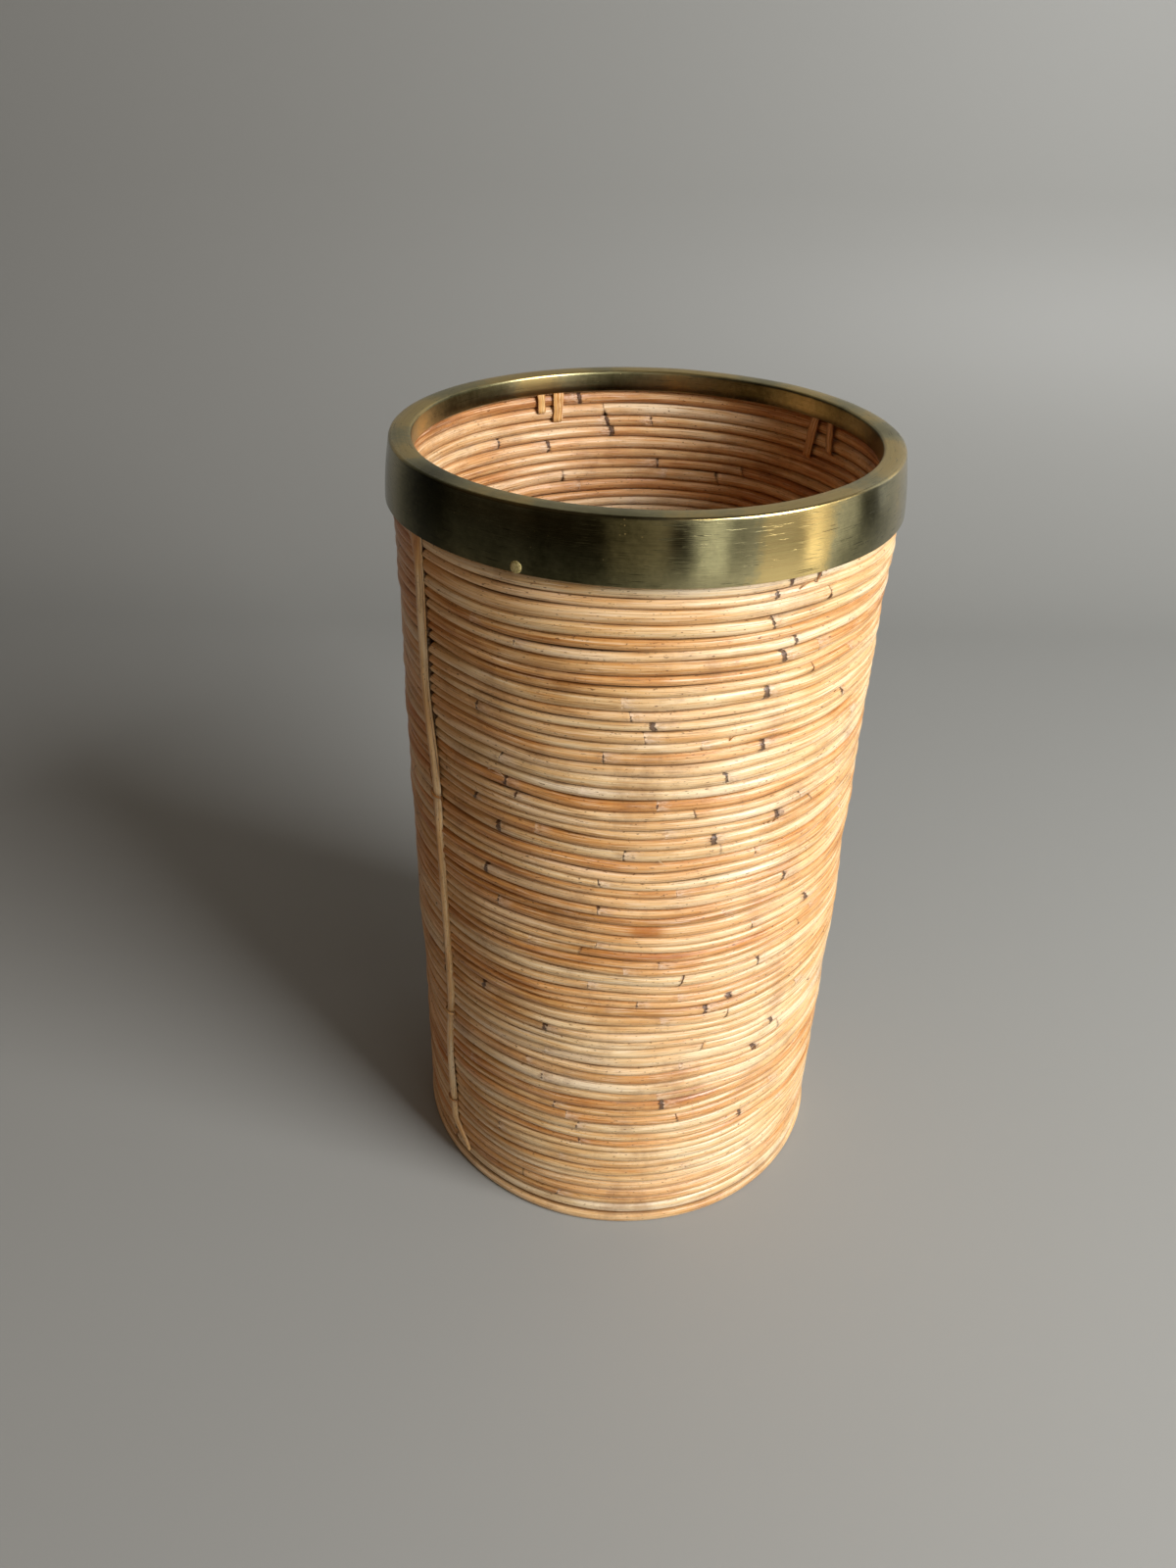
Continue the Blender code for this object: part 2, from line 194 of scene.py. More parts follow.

    # cut ends and torn skin, stains, and painted shade in the grooves between courses and under the strips
    torn = calculate("MULTIPLY_ADD", scuff, 1.1, end)
    colour = mix(calculate("MULTIPLY", mask(torn, 0.82, 0.50), 0.8), colour, "#583820")
    colour = mix(stain, colour, "#A85F12")
    # painted shade: darker brown towards the groove between courses
    colour = mix(calculate("MULTIPLY", mask(grooveShade, 0.62, 1.0), 0.7), colour, "#6B3F1C")
    tree.links.new(colour, shader.inputs["Base Color"])

    tree.links.new(calculate("MULTIPLY_ADD", fibre, 0.24, 0.44 - 0.3 * gloss), shader.inputs["Roughness"])
    shader.inputs["Specular IOR Level"].default_value = 0.5
    shader.inputs["Coat Weight"].default_value = 0.3 * gloss
    shader.inputs["Coat Roughness"].default_value = 0.24

    bump = None
    for strength, depth, inverted, height in (
            (0.70, 0.0004, False, fibre), (0.50, 0.0003, True, mask(thread, 0.54, 0.74)),
            (0.90, 0.0006, True, ring), (0.55, 0.0005, False, scar)):
        joined = {"Height": height} if bump is None else {"Height": height, "Normal": bump}
        bump = addNode(tree, "Bump", {"Strength": strength, "Distance": depth, "invert": inverted},
                       joined).outputs["Normal"]
    tree.links.new(bump, shader.inputs["Normal"])
    return material


reed = {
    "pitch": 0.0063,          # one course
    "heightSpread": 0.50,     # how far courses differ in height, as a share of the pitch
    "front": 0.0031,          # rounded side, from the widest line to the crest
    "back": 0.0007,           # flattened side against the stakes
    "sides": 16,
    "stepOuter": 0.0036,      # along the reed between stations
    "stepInner": 0.0050,
    "seamOuter": (-55.3, -54.6),   # where a course ends and where it starts again
    "seamInner": (-54.4, -54.0),
    "seamJitter": 0.35,       # degrees
    "jointGap": 0.0003,
    "jointsPerCourse": (0, 0, 1),
    "nodeSpacing": (0.30, 0.85),
    "nodeReach": 0.020,       # marks fade out this far from a node
    "nodeClear": 0.02,        # no other node comes this close to a listed one
    "listedFaint": (-0.06, 0.0),   # how weak the ring of a listed node is, below 0 for a broad one
    "faintest": 0.06,         # how weak the ring of another node may be; 0.08 leaves none
    "nodeLean": 0.0014,       # how far a ring slants round the reed
    "endSlant": 0.7,          # how far a cut end is off square
    "liftSpread": 0.0003,     # how far a length stands off or lies in
    "drift": 0.14,            # change of shade along a length, per 90 degrees
    "shades": (0.05, 0.92),   # palest and darkest
    "shortest": 14,           # degrees from the seam to the first butt joint
    "apart": 25,              # degrees between butt joints
    "toneSpread": (0.085, 0.07),   # from course to course, and from length to length
    "nodeRidge": 0.05,        # swelling at a node, as a share of the thickness
    "nodeShape": ((-0.0017, -0.0005, 0.0, 0.0005, 0.0019), (0.0, 1.0, 0.2, -0.7, 0.0)),
    "seed": 41,
    # azimuth and height in millimetres of the nodes that stand out, and of the butted ends
    "knotsOuter": ((29.5, 428), (36, 428), (26, 419), (26, 410), (32, 396), (29, 391), (26, 368), (50, 351),
                   (2, 361), (27, 343), (18, 327), (32, 296), (17, 290), (37, 257), (47, 230), (33, 198),
                   (25, 182), (19, 174), (40, 144), (35, 131), (9, 105), (33, 75), (-38, 355), (-32, 331),
                   (-31, 317), (-40, 300), (-33, 286), (-37, 256), (-39, 172), (-21, 157)),
    "jointsOuter": ((12, 307), (38, 376), (12, 200), (25, 169), (19, 147), (14, 92), (46, 213)),
    "knotsInner": ((-137, 425), (-153, 417), (-171, 433), (-163, 446), (-172, 425), (174, 405)),
    "jointsInner": ((-170, 439), (156, 398), (-158, 400)),
    "stains": ((3.0, 0.2355, 0.0085),),   # azimuth, height, half length
    # torn brown skin at some nodes: azimuth, height, half length
    "scars": ((33.2, 0.2965, 0.0050), (35.8, 0.131, 0.0042), (29.5, 0.4285, 0.0024), (26.6, 0.343, 0.0028),
              (18.3, 0.282, 0.0022), (43.5, 0.142, 0.0032), (25.6, 0.182, 0.0020), (19.0, 0.351, 0.0018)),
}


def courseHeights(prefix, seed):
    # real courses differ a little in height; the sum stays what the frame gives
    picker = random.Random(seed)
    boxes = [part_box("%s_%d" % (prefix, number)) for number in range(1, bandCount + 1)]
    counts = [round((high.z - low.z) / reed["pitch"]) for low, high in boxes]
    bottom = boxes[0][0].z
    sizes = [1 + (picker.random() - 0.5) * reed["heightSpread"] for _ in range(sum(counts))]
    scale = (boxes[-1][1].z - bottom) / sum(sizes)
    bands = []
    edge = bottom
    for count in counts:
        rows = []
        for _ in range(count):
            height = sizes.pop(0) * scale
            rows.append((edge + height / 2, height))
            edge += height
        bands.append(rows)
    return bands


def onCourse(places, course):
    low = course["middle"] - course["height"] / 2
    high = course["middle"] + course["height"] / 2
    return [azimuth for azimuth, height in places if low < height / 1000 < high]


def splitCourse(picker, course):
    # spans of the lengths in one course; each starts or ends at the seam or at a butt joint
    finish, begin = course["seam"]
    first = begin + picker.uniform(-1, 1) * reed["seamJitter"]
    last = finish + 360 + picker.uniform(-1, 1) * reed["seamJitter"]
    cuts = onCourse(course["joints"], course)
    for _ in range(picker.choice(reed["jointsPerCourse"])):
        cuts.append(picker.uniform(first + reed["shortest"], last - reed["shortest"]))
    cuts = sorted(cut if cut > first else cut + 360 for cut in cuts)
    cuts = [cut for i, cut in enumerate(cuts) if i == 0 or cut - cuts[i - 1] > reed["apart"]]
    gap = math.degrees(reed["jointGap"] / course["radius"]) / 2
    marks = [first] + cuts + [last]
    spans = []
    for i, (start, end) in enumerate(zip(marks, marks[1:])):
        spans.append((start + (gap if i else 0), end - (gap if i < len(marks) - 2 else 0)))
    return spans


def planLength(picker, course, span):
    start, end = span
    perDegree = math.radians(course["radius"])
    chosen = [knot + turn for knot in onCourse(course["knots"], course) for turn in (0, 360)]
    nodes = [(node, picker.uniform(*reed["listedFaint"])) for node in chosen if start + 2 < node < end - 2]
    at = start + picker.uniform(0.02, reed["nodeSpacing"][0]) / perDegree
    while at < end - 0.006 / perDegree:
        if all(abs(at - node) * perDegree > reed["nodeClear"] for node, faint in nodes):
            nodes.append((at, picker.uniform(0, reed["faintest"])))
        at += picker.uniform(*reed["nodeSpacing"]) / perDegree
    nodes.sort()

    def either(limit):
        return picker.uniform(-limit, limit)

    palest, darkest = reed["shades"]
    return {
        **course, "start": start, "end": end, "perDegree": perDegree,
        "nodes": [node for node, faint in nodes], "faint": [faint for node, faint in nodes],
        "leans": [(either(reed["nodeLean"]), picker.uniform(0, math.tau)) for node in nodes],
        "lift": either(reed["liftSpread"]), "shift": picker.uniform(0, 40),
        "slants": (either(reed["endSlant"]), either(reed["endSlant"])), "drift": either(reed["drift"]),
        "tone": min(darkest, max(palest, course["tone"] + picker.gauss(0, reed["toneSpread"][1]))),
    }


def squared(value, power):
    return math.copysign(abs(value) ** power, value)


def bendLength(bm, length):
    # a circle pressed to the reed's section, spun round the stand, with chamfered ends
    made = bmesh.ops.create_circle(bm, cap_ends=False, segments=reed["sides"], radius=1.0)
    ring = made["verts"]
    away = outward(length["start"])
    for vert in ring:
        across = squared(vert.co.x, length["square"]) * length["side"]
        up = squared(vert.co.y, length["square"])
        depth = length["front"] if vert.co.x > 0 else length["back"]
        vert.co = away * (length["radius"] + across * depth)
        vert.co.z = length["middle"] + up * length["height"] / 2
    edges = list({edge for vert in ring for edge in vert.link_edges})
    stops = [length["start"]]
    for node in length["nodes"]:
        stops += [node + shift / length["perDegree"] for shift in reed["nodeShape"][0]]
    stops.append(length["end"])
    geom = ring + edges
    for low, high in zip(stops, stops[1:]):
        steps = max(1, math.ceil((high - low) * length["perDegree"] / length["step"]))
        swept = bmesh.ops.spin(bm, geom=geom, cent=(0, 0, 0), axis=(0, 0, 1),
                               angle=math.radians(high - low), steps=steps)
        geom = [item for item in swept["geom_last"] if not isinstance(item, bmesh.types.BMFace)]
    rims = edges + [item for item in geom if isinstance(item, bmesh.types.BMEdge)]
    caps = bmesh.ops.holes_fill(bm, edges=rims, sides=reed["sides"])["faces"]
    bmesh.ops.recalc_face_normals(bm, faces=bm.faces)
    bmesh.ops.inset_individual(bm, faces=caps, thickness=0.0005, depth=0.0003)


def wave(phases, azimuth, strengths):
    # smooth closed wobble round the stand
    turns = [strength * np.sin(np.radians(azimuth) * (3 + 4 * k) + phase)
             for k, (phase, strength) in enumerate(zip(phases, strengths))]
    return sum(turns)


def shapeLength(mesh, length):
    # nodes, slanted ends and a hand-laid wander, with the measures that the finish reads
    flat = np.empty(len(mesh.vertices) * 3)
    mesh.vertices.foreach_get("co", flat)
    x, y, z = flat.reshape(-1, 3).T
    side, radius, perDegree = length["side"], length["radius"], length["perDegree"]
    middle, half = length["middle"], length["height"] / 2
    centre = (length["start"] + length["end"]) / 2
    distance = np.hypot(x, y)
    azimuth = np.degrees(np.arctan2(x, -y))
    azimuth += 360 * np.round((centre - azimuth) / 360)
    front = (distance - radius) * side
    depth = np.where(front > 0, length["front"], length["back"])
    angle = np.arctan2((z - middle) / half, np.clip(front / depth, -1, 1))
    after = np.ones_like(x)
    before = np.ones_like(x)
    grown = 1 + 0.025 * np.sin(azimuth * perDegree * 21 + length["shift"])
    grown += 0.030 * np.sin(azimuth * perDegree * 57 + length["shift"] * 3)
    skew = np.zeros_like(x)
    for node, faint, (lean, phase) in zip(length["nodes"], length["faint"], length["leans"]):
        past = (azimuth - node) * perDegree
        away = np.abs(past) / reed["nodeReach"] + faint
        after = np.where(past > -1e-6, np.minimum(after, away), after)
        before = np.where(past < 1e-6, np.minimum(before, away), before)
        grown += reed["nodeRidge"] * np.interp(past, *reed["nodeShape"])
        skew += lean * np.sin(angle + phase) * np.exp(-(past / 0.004) ** 2)
    toEnd = np.minimum(azimuth - length["start"], length["end"] - azimuth) * perDegree

    def patches(places):
        # a patch covers the one course that its height falls on
        covered = np.zeros_like(x)
        for patchAzimuth, patchHeight, patchLength in places:
            past = (azimuth - patchAzimuth + 180) % 360 - 180
            if abs(middle - patchHeight) < half:
                covered += np.exp(-(past * perDegree / patchLength) ** 4)
        return covered

    stain = 0.8 * patches(length["stains"])
    whole = np.minimum(np.clip(toEnd / 0.0012, 0, 1), 1 - patches(length["scars"]))

    place = (azimuth * perDegree + length["shift"], angle * half, np.full_like(x, length["shift"] * 0.37))
    marks = (after, before, length["tone"] + length["drift"] * (azimuth - centre) / 90)
    # the third measure runs from the crest into the groove and sets the painted shade there
    wear = (whole, stain, np.abs(angle) / math.pi * 2)
    for name, values in zip(lengthLayers, (place, marks, wear)):
        layer = mesh.attributes.new(name, "FLOAT_VECTOR", "POINT")
        layer.data.foreach_set("vector", np.stack(values, axis=1).astype(np.float32).ravel())

    rise = z - middle
    distance = radius + (distance - radius) * grown
    lift = length["lift"] + wave(length["phases"], azimuth, (0.00018, 0.00012, 0.00009))
    distance += side * lift * length["sway"]
    fullness = wave((0.4, 1.9, 3.3), azimuth + middle * 420, (0.0005, 0.0003, 0.0002))
    distance += side * length["sway"] * fullness
    z = middle + rise * (1 + 0.4 * (grown - 1)) * length["packing"]
    z += wave(length["tilts"], azimuth, (0.00024, 0.00016, 0.00010)) * length["sway"]
    z += wave((0.7, 2.1, 4.0), azimuth + middle * 260, (0.0009, 0.0004, 0.00015)) * length["sway"]
    slant = np.where(azimuth < centre, length["slants"][0], length["slants"][1])
    azimuth += (skew + np.where(toEnd < 1e-5, rise * slant, 0)) / perDegree
    turn = np.radians(azimuth)
    shaped = np.stack((np.sin(turn) * distance, -np.cos(turn) * distance, z), axis=1)
    mesh.vertices.foreach_set("co", shaped.ravel())


def addLength(bm, length):
    single = bmesh.new()
    bendLength(single, length)
    mesh = bpy.data.meshes.new("length")
    single.to_mesh(mesh)
    single.free()
    shapeLength(mesh, length)
    bm.from_mesh(mesh)
    bpy.data.meshes.remove(mesh)


def frameAt(centre, across, out, halfWidth, halfDepth):
    # a section's own axes: x across, y out, z along
    along = across.cross(out)
    rows = [(across[i] * halfWidth, out[i] * halfDepth, along[i], centre[i]) for i in range(3)]
    return Matrix(rows + [(0, 0, 0, 1)])


def addStrip(bm, stations, look):
    # a circle pressed to shape and drawn through the stations, each a frame with its half width
    sides = look.get("sides", 10)
    made = bmesh.ops.create_circle(bm, cap_ends=False, segments=sides, radius=1.0)
    ring = made["verts"]
    for vert in ring:
        x = squared(vert.co.x, look.get("square", 1.0))
        y = squared(vert.co.y, look.get("square", 1.0))
        vert.co = stations[0][0] @ Vector((x, y if y > 0 else y * look.get("under", 1.0), 0))
    edges = list({edge for vert in ring for edge in vert.link_edges})
    rims = list(edges)
    place, marks, wear = [bm.verts.layers.float_vector[name] for name in lengthLayers]
    total = sum((b[0].translation - a[0].translation).length for a, b in zip(stations, stations[1:]))
    travelled = 0.0
    last = None
    for now, halfWidth in stations:
        if last is not None:
            grown = bmesh.ops.extrude_edge_only(bm, edges=edges)["geom"]
            ring = [item for item in grown if isinstance(item, bmesh.types.BMVert)]
            fresh = set(ring)
            edges = [item for item in grown if isinstance(item, bmesh.types.BMEdge)
                     and item.verts[0] in fresh and item.verts[1] in fresh]
            bmesh.ops.transform(bm, matrix=now @ last.inverted(), verts=ring)
            travelled += (now.translation - last.translation).length
        back = now.inverted()
        for vert in ring:
            local = back @ vert.co
            turn = math.atan2(local.y, local.x)
            vert[place] = (travelled + look["seed"], turn * halfWidth, look["seed"] * 0.37)
            shade = look["tone"] + look.get("darkHead", 0.0) * max(0.0, 1 - travelled / 0.03)
            toEnd = min(travelled, total - travelled)
            vert[marks] = (1.0, 1.0, shade)
            # the side of a strip that lies against the reeds gets the painted groove shade
            vert[wear] = (min(1.0, toEnd / 0.0012), 0.0, 0.0 if local.y > -0.1 else 0.9)
        last = now
    rims += edges
    bmesh.ops.holes_fill(bm, edges=rims, sides=sides)


frays = {
    # azimuth, height in mm, length, lean from level in degrees, how far the tip stands off, tone
    "slivers": (
        (-33.5, 321.5, 0.010, 18, 0.0012, -0.1), (-32.0, 319.5, 0.008, -12, 0.0014, 0.0),
        (-48.0, 337.0, 0.006, 30, 0.0010, 0.2), (30.0, 297.0, 0.006, 62, 0.0014, 0.7),
        (31.0, 295.5, 0.0065, 48, 0.0016, 0.5), (32.2, 295.0, 0.006, 35, 0.0012, 0.9),
        (33.6, 296.5, 0.005, 70, 0.0012, 0.3), (34.4, 131.5, 0.0055, 55, 0.0014, 0.5),
        (35.4, 130.5, 0.0065, 40, 0.0018, 0.7), (36.6, 131.0, 0.005, 60, 0.0014, 0.4),
        (5.0, 281.5, 0.009, -38, 0.0010, 0.1), (19.0, 351.0, 0.004, 40, 0.0008, 0.9),
        (33.0, 424.5, 0.009, 22, 0.0016, 0.9), (36.0, 427.0, 0.006, 75, 0.0014, 1.0),
        (26.5, 283.0, 0.005, -50, 0.0009, 0.3), (-21.0, 158.5, 0.007, 12, 0.0012, 0.2),
        (98.0, 260.0, 0.008, 25, 0.0014, 0.1), (151.0, 330.0, 0.007, -30, 0.0012, 0.3),
        (-120.0, 210.0, 0.008, 20, 0.0014, 0.1), (-160.0, 370.0, 0.006, 45, 0.0012, 0.6),
    ),
    "halfWidth": 0.00042,
    "rooted": 0.0006,         # how far below the crests a fibre starts
    "stations": 6,
}


def addFrays(bm, low, high):
    # torn fibres that lift off the reeds
    for number, (azimuth, height, size, lean, standOff, tone) in enumerate(frays["slivers"]):
        if not low <= height / 1000 < high:
            continue
        tilt = math.radians(lean)
        stations = []
        for k in range(frays["stations"]):
            share = k / (frays["stations"] - 1)
            turn = azimuth + math.degrees(size * (share - 0.5) * math.cos(tilt) / outerCrest)
            out = outward(turn)
            lifted = outerCrest - frays["rooted"] + standOff * share ** 1.5
            centre = out * lifted
            centre.z = height / 1000 + size * (share - 0.5) * math.sin(tilt) + 0.0006 * math.sin(3 * share)
            along = (sideways(turn) * math.cos(tilt) + Vector((0, 0, math.sin(tilt)))).normalized()
            half = frays["halfWidth"] * (1.05 - share ** 2)
            stations.append((frameAt(centre, out.cross(along), out, half, half * 0.6), half))
        addStrip(bm, stations, {"sides": 5, "seed": 3.0 + number, "tone": tone})


def buildReeds(prefix, pieceName, settings, material):
    picker = random.Random(settings["seed"])
    bands = courseHeights(prefix, settings["seed"] + 5)
    lowest = bands[0][0][0]
    highest = bands[-1][-1][0]
    for number, rows in enumerate(bands, 1):
        bm = newBody()
        for middle, height in rows:
            # the first and last courses lie flat against the foot ring and the hoop
            freedom = min(1.0, min(middle - lowest, highest - middle) / settings["heldFor"])
            course = {
                **settings, "middle": middle, "height": height, "square": 1.0, "packing": 1.02,
                "phases": [picker.uniform(0, math.tau) for _ in range(3)],
                "tilts": [picker.uniform(0, math.tau) for _ in range(3)],
                "tone": picker.gauss(settings["shade"], reed["toneSpread"][0]), "sway": ease(freedom),
            }
            for span in splitCourse(picker, course):
                addLength(bm, planLength(picker, course, span))
        if settings["side"] > 0:
            addFrays(bm, rows[0][0] - rows[0][1] / 2, rows[-1][0] + rows[-1][1] / 2)
        finishPiece("%s%d" % (pieceName, number), bm, material, ["%s_%d" % (prefix, number)])
    print("reeds made:", pieceName)


outerReedFinish = reedMaterial("varnishedPencilReed", [
    (0.0, "#ECD5B2"), (0.25, "#E6C899"), (0.5, "#DCB37B"), (0.75, "#CB9555"), (1.0, "#AD7238")], 0.7)
innerReedFinish = reedMaterial("barePencilReed", [
    (0.0, "#E9D3B2"), (0.25, "#E0C095"), (0.5, "#D3A670"), (0.75, "#BC834C"), (1.0, "#96602E")], 0.45)
buildReeds("outer_reed_band", "outerReeds", {
    "side": 1, "radius": outerCrest - reed["front"], "front": reed["front"], "back": reed["back"],
    "step": reed["stepOuter"], "seam": reed["seamOuter"], "knots": reed["knotsOuter"],
    "joints": reed["jointsOuter"], "stains": reed["stains"], "scars": reed["scars"],
    "shade": 0.42, "heldFor": 0.03, "seed": reed["seed"]}, outerReedFinish)
buildReeds("inner_reed_band", "innerReeds", {
    "side": -1, "radius": innerBack - reed["back"], "front": reed["front"], "back": reed["back"],
    "step": reed["stepInner"], "seam": reed["seamInner"], "knots": reed["knotsInner"],
    "joints": reed["jointsInner"], "stains": (), "scars": (),
    "shade": 0.44, "heldFor": 0.06, "seed": reed["seed"] + 100}, innerReedFinish)

foot = {
    "gapAbove": 0.0008,
    "front": 0.0034,
    "underBase": 0.0066,      # how far the ring reaches in under the base
    "square": 0.72,
    "jointAzimuth": 161.0,
    "jointWidth": 0.2,        # degrees
    "tone": 0.30,
    "seed": 77,
}


def buildFoot(material):
    # one thick reed bent to a ring, its ends butted at the back
    picker = random.Random(foot["seed"])
    low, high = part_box("foot_ring")
    radius = high.x - foot["front"]
    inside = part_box("base_disc")[1].x - foot["underBase"]
    height = high.z - low.z - foot["gapAbove"]
    course = {
        "side": 1, "radius": radius, "front": foot["front"], "back": radius - inside,
        "step": reed["stepOuter"], "middle": (low.z + high.z - foot["gapAbove"]) / 2, "height": height,
        "square": foot["square"], "packing": 1.0, "phases": (0, 1, 2), "tilts": (0, 1, 2),
        "tone": foot["tone"], "sway": 0.0, "knots": (), "stains": (), "scars": (),
    }
    bm = newBody()
    span = (foot["jointAzimuth"] - 360 + foot["jointWidth"], foot["jointAzimuth"])
    addLength(bm, planLength(picker, course, span))
    finishPiece("footRing", bm, material, ["foot_ring"])


buildFoot(outerReedFinish)

seam = {
    # share of the height and azimuth that the cover passes through, top to bottom
    "path": ((1.0, -56.5), (0.80, -57.0), (0.64, -54.2), (0.32, -53.0),
             (0.17, -55.4), (0.05, -54.8), (0.0, -48.0)),
    "halfWidth": 0.0031,
    "depth": 0.0026,
    "stations": 110,
    "flare": 2.0,             # the head spreads where it is tucked under the brass
    "headShift": -2.0,        # degrees
    "strandHalf": 0.0005,
    "strandBeside": 1.60,     # degrees to the right of the cover's middle
    "strandEnds": 0.66,
    # share of the height, lean in degrees, how far the left end runs on, and how far it climbs
    "ties": ((0.64, 14.0, 0.0040, 0.0090), (0.27, 2.0, 0.0030, 0.0030), (0.085, 8.0, 0.0015, 0.0005)),
    "tieHalf": 0.0009,
    "tieDepth": 0.0006,
    "tipLength": 0.0042,
}
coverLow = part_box("seam_cover")[0].z
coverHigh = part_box("seam_cover")[1].z


def coverAzimuth(share):
    for (upper, start), (lower, end) in zip(seam["path"], seam["path"][1:]):
        if share >= lower:
            return start + (end - start) * ease((upper - share) / (upper - lower))
    return seam["path"][-1][1]


def coverPoint(share, beside=0.0, lift=0.0):
    azimuth = coverAzimuth(share) + beside
    point = outward(azimuth) * (outerCrest + lift)
    point.z = coverLow + (coverHigh - coverLow) * share
    return point, outward(azimuth)


def drawAlong(bm, top, bottom, count, section, look):
    # strip down the seam between two shares of its height; section gives beside, lift, half width and depth
    stations = []
    for k in range(count + 1):
        share = top + (bottom - top) * k / count
        beside, lift, halfWidth, depth = section(share)
        point, out = coverPoint(share, beside, lift)
        upper = coverPoint(min(1.0, share + 0.004), beside)[0]
        lower = coverPoint(max(0.0, share - 0.004), beside)[0]
        along = (upper - lower).normalized()
        across = along.cross(out).normalized()
        rise = across.cross(along).normalized()
        stations.append((frameAt(point, across, rise, halfWidth, depth), halfWidth))
    addStrip(bm, stations, look)


def coverSection(share):
    head = max(0.0, 1 - (1 - share) / 0.06)
    tail = min(1.0, share / 0.05)
    halfWidth = seam["halfWidth"] * (0.55 + 0.45 * tail) * (1 + seam["flare"] * ease(head))
    wobble = 0.06 * math.sin(share * 23) + 0.05 * math.sin(share * 61 + 1)
    depth = seam["depth"] * (1 - 0.4 * head) * (0.6 + 0.4 * tail)
    return seam["headShift"] * ease(head), -0.0002, halfWidth * (1 + wobble * 0.6), depth


def strandSection(share):
    tail = min(1.0, (share - seam["strandEnds"]) / 0.03)
    half = seam["strandHalf"] * max(0.15, tail)
    return seam["strandBeside"] + 0.12 * math.sin(share * 30), 0.0002, half, half


def buildTie(number, share, lean, lead, climb, material):
    # thin strand bound over the cover, its split ends left standing
    bm = newBody()
    middle, out = coverPoint(share)
    tilt = math.radians(lean)
    level = Vector((0, 0, 1)).cross(out)
    across = level * math.cos(tilt) - Vector((0, 0, math.sin(tilt)))
    reach = seam["halfWidth"] + 0.0011
    rise = seam["depth"] + 0.0005
    path = []
    for k in range(13):
        angle = math.pi * (1 - k / 12)
        path.append((math.cos(angle) * reach, math.sin(angle) * rise, 1.0))
    left = [(-reach - lead * s, 0.0003, 1 - 0.5 * s) for s in (1, 0.75, 0.5, 0.25)]
    right = [(reach + seam["tipLength"] * s, 0.0002 + 0.0018 * s, 1 - 0.85 * s) for s in (0.33, 0.66, 1)]
    points = left + path + right
    stations = []
    for i, (x, y, size) in enumerate(points):
        before = points[max(0, i - 1)]
        after = points[min(len(points) - 1, i + 1)]
        along = (across * (after[0] - before[0]) + out * (after[1] - before[1])).normalized()
        top = across.cross(out).normalized()
        centre = middle + across * x + out * y
        if x < -reach:
            centre.z += climb * (-reach - x) / lead
        section = frameAt(centre, top, top.cross(along), seam["tieHalf"] * size, seam["tieDepth"] * size)
        stations.append((section, seam["tieHalf"]))
    addStrip(bm, stations, {"sides": 8, "seed": 21.0 + number, "tone": 0.55})
    bmesh.ops.recalc_face_normals(bm, faces=bm.faces)
    finishPiece("seamTie%d" % number, bm, material, ["seam_tie_%d" % number])


def buildSeam(material):
    bm = newBody()
    drawAlong(bm, 1.0, 0.0, seam["stations"], coverSection, {
        "sides": 14, "under": 0.25, "seed": 5.0, "tone": 0.30, "darkHead": 0.5})
    bmesh.ops.recalc_face_normals(bm, faces=bm.faces)
    finishPiece("seamCover", bm, material, ["seam_cover"])
    bm = newBody()
    drawAlong(bm, 1.0, seam["strandEnds"], 40, strandSection, {"sides": 8, "seed": 9.0, "tone": 0.25})
    bmesh.ops.recalc_face_normals(bm, faces=bm.faces)
    finishPiece("seamStrand", bm, material, ["seam_strand"])
    for number, tie in enumerate(seam["ties"], 1):
        buildTie(number, *tie, material)
    print("seam made")


caneFinish = reedMaterial("splitWrappingCane", [
    (0.0, "#F1DCB4"), (0.3, "#E6C48C"), (0.55, "#D8A968"), (0.8, "#BF8645"), (1.0, "#96602B")], 0.8)
buildSeam(caneFinish)

lash = {
    "halfThickness": 0.00042,
    "bulge": 0.00012,         # how far a strip dips into the grooves between courses
    "step": 0.0011,
    "hidden": 0.0045,         # how far a strip reaches up behind the lip
    "tuck": 0.0026,           # how far its end dives between two courses
    # drop below the lip, half width, sideways slant in degrees and tone, by lash number
    "runs": ((0.0200, 0.0026, 0.4, 0.50), (0.0260, 0.0030, -0.3, 0.45), (0.0185, 0.0028, -0.9, 0.80),
             (0.0255, 0.0033, 2.4, 0.85), (0.0190, 0.0031, 0.3, 0.50), (0.0125, 0.0024, -0.4, 0.62),
             (0.0260, 0.0029, 0.0, 0.40), (0.0200, 0.0026, 0.6, 0.55)),
}


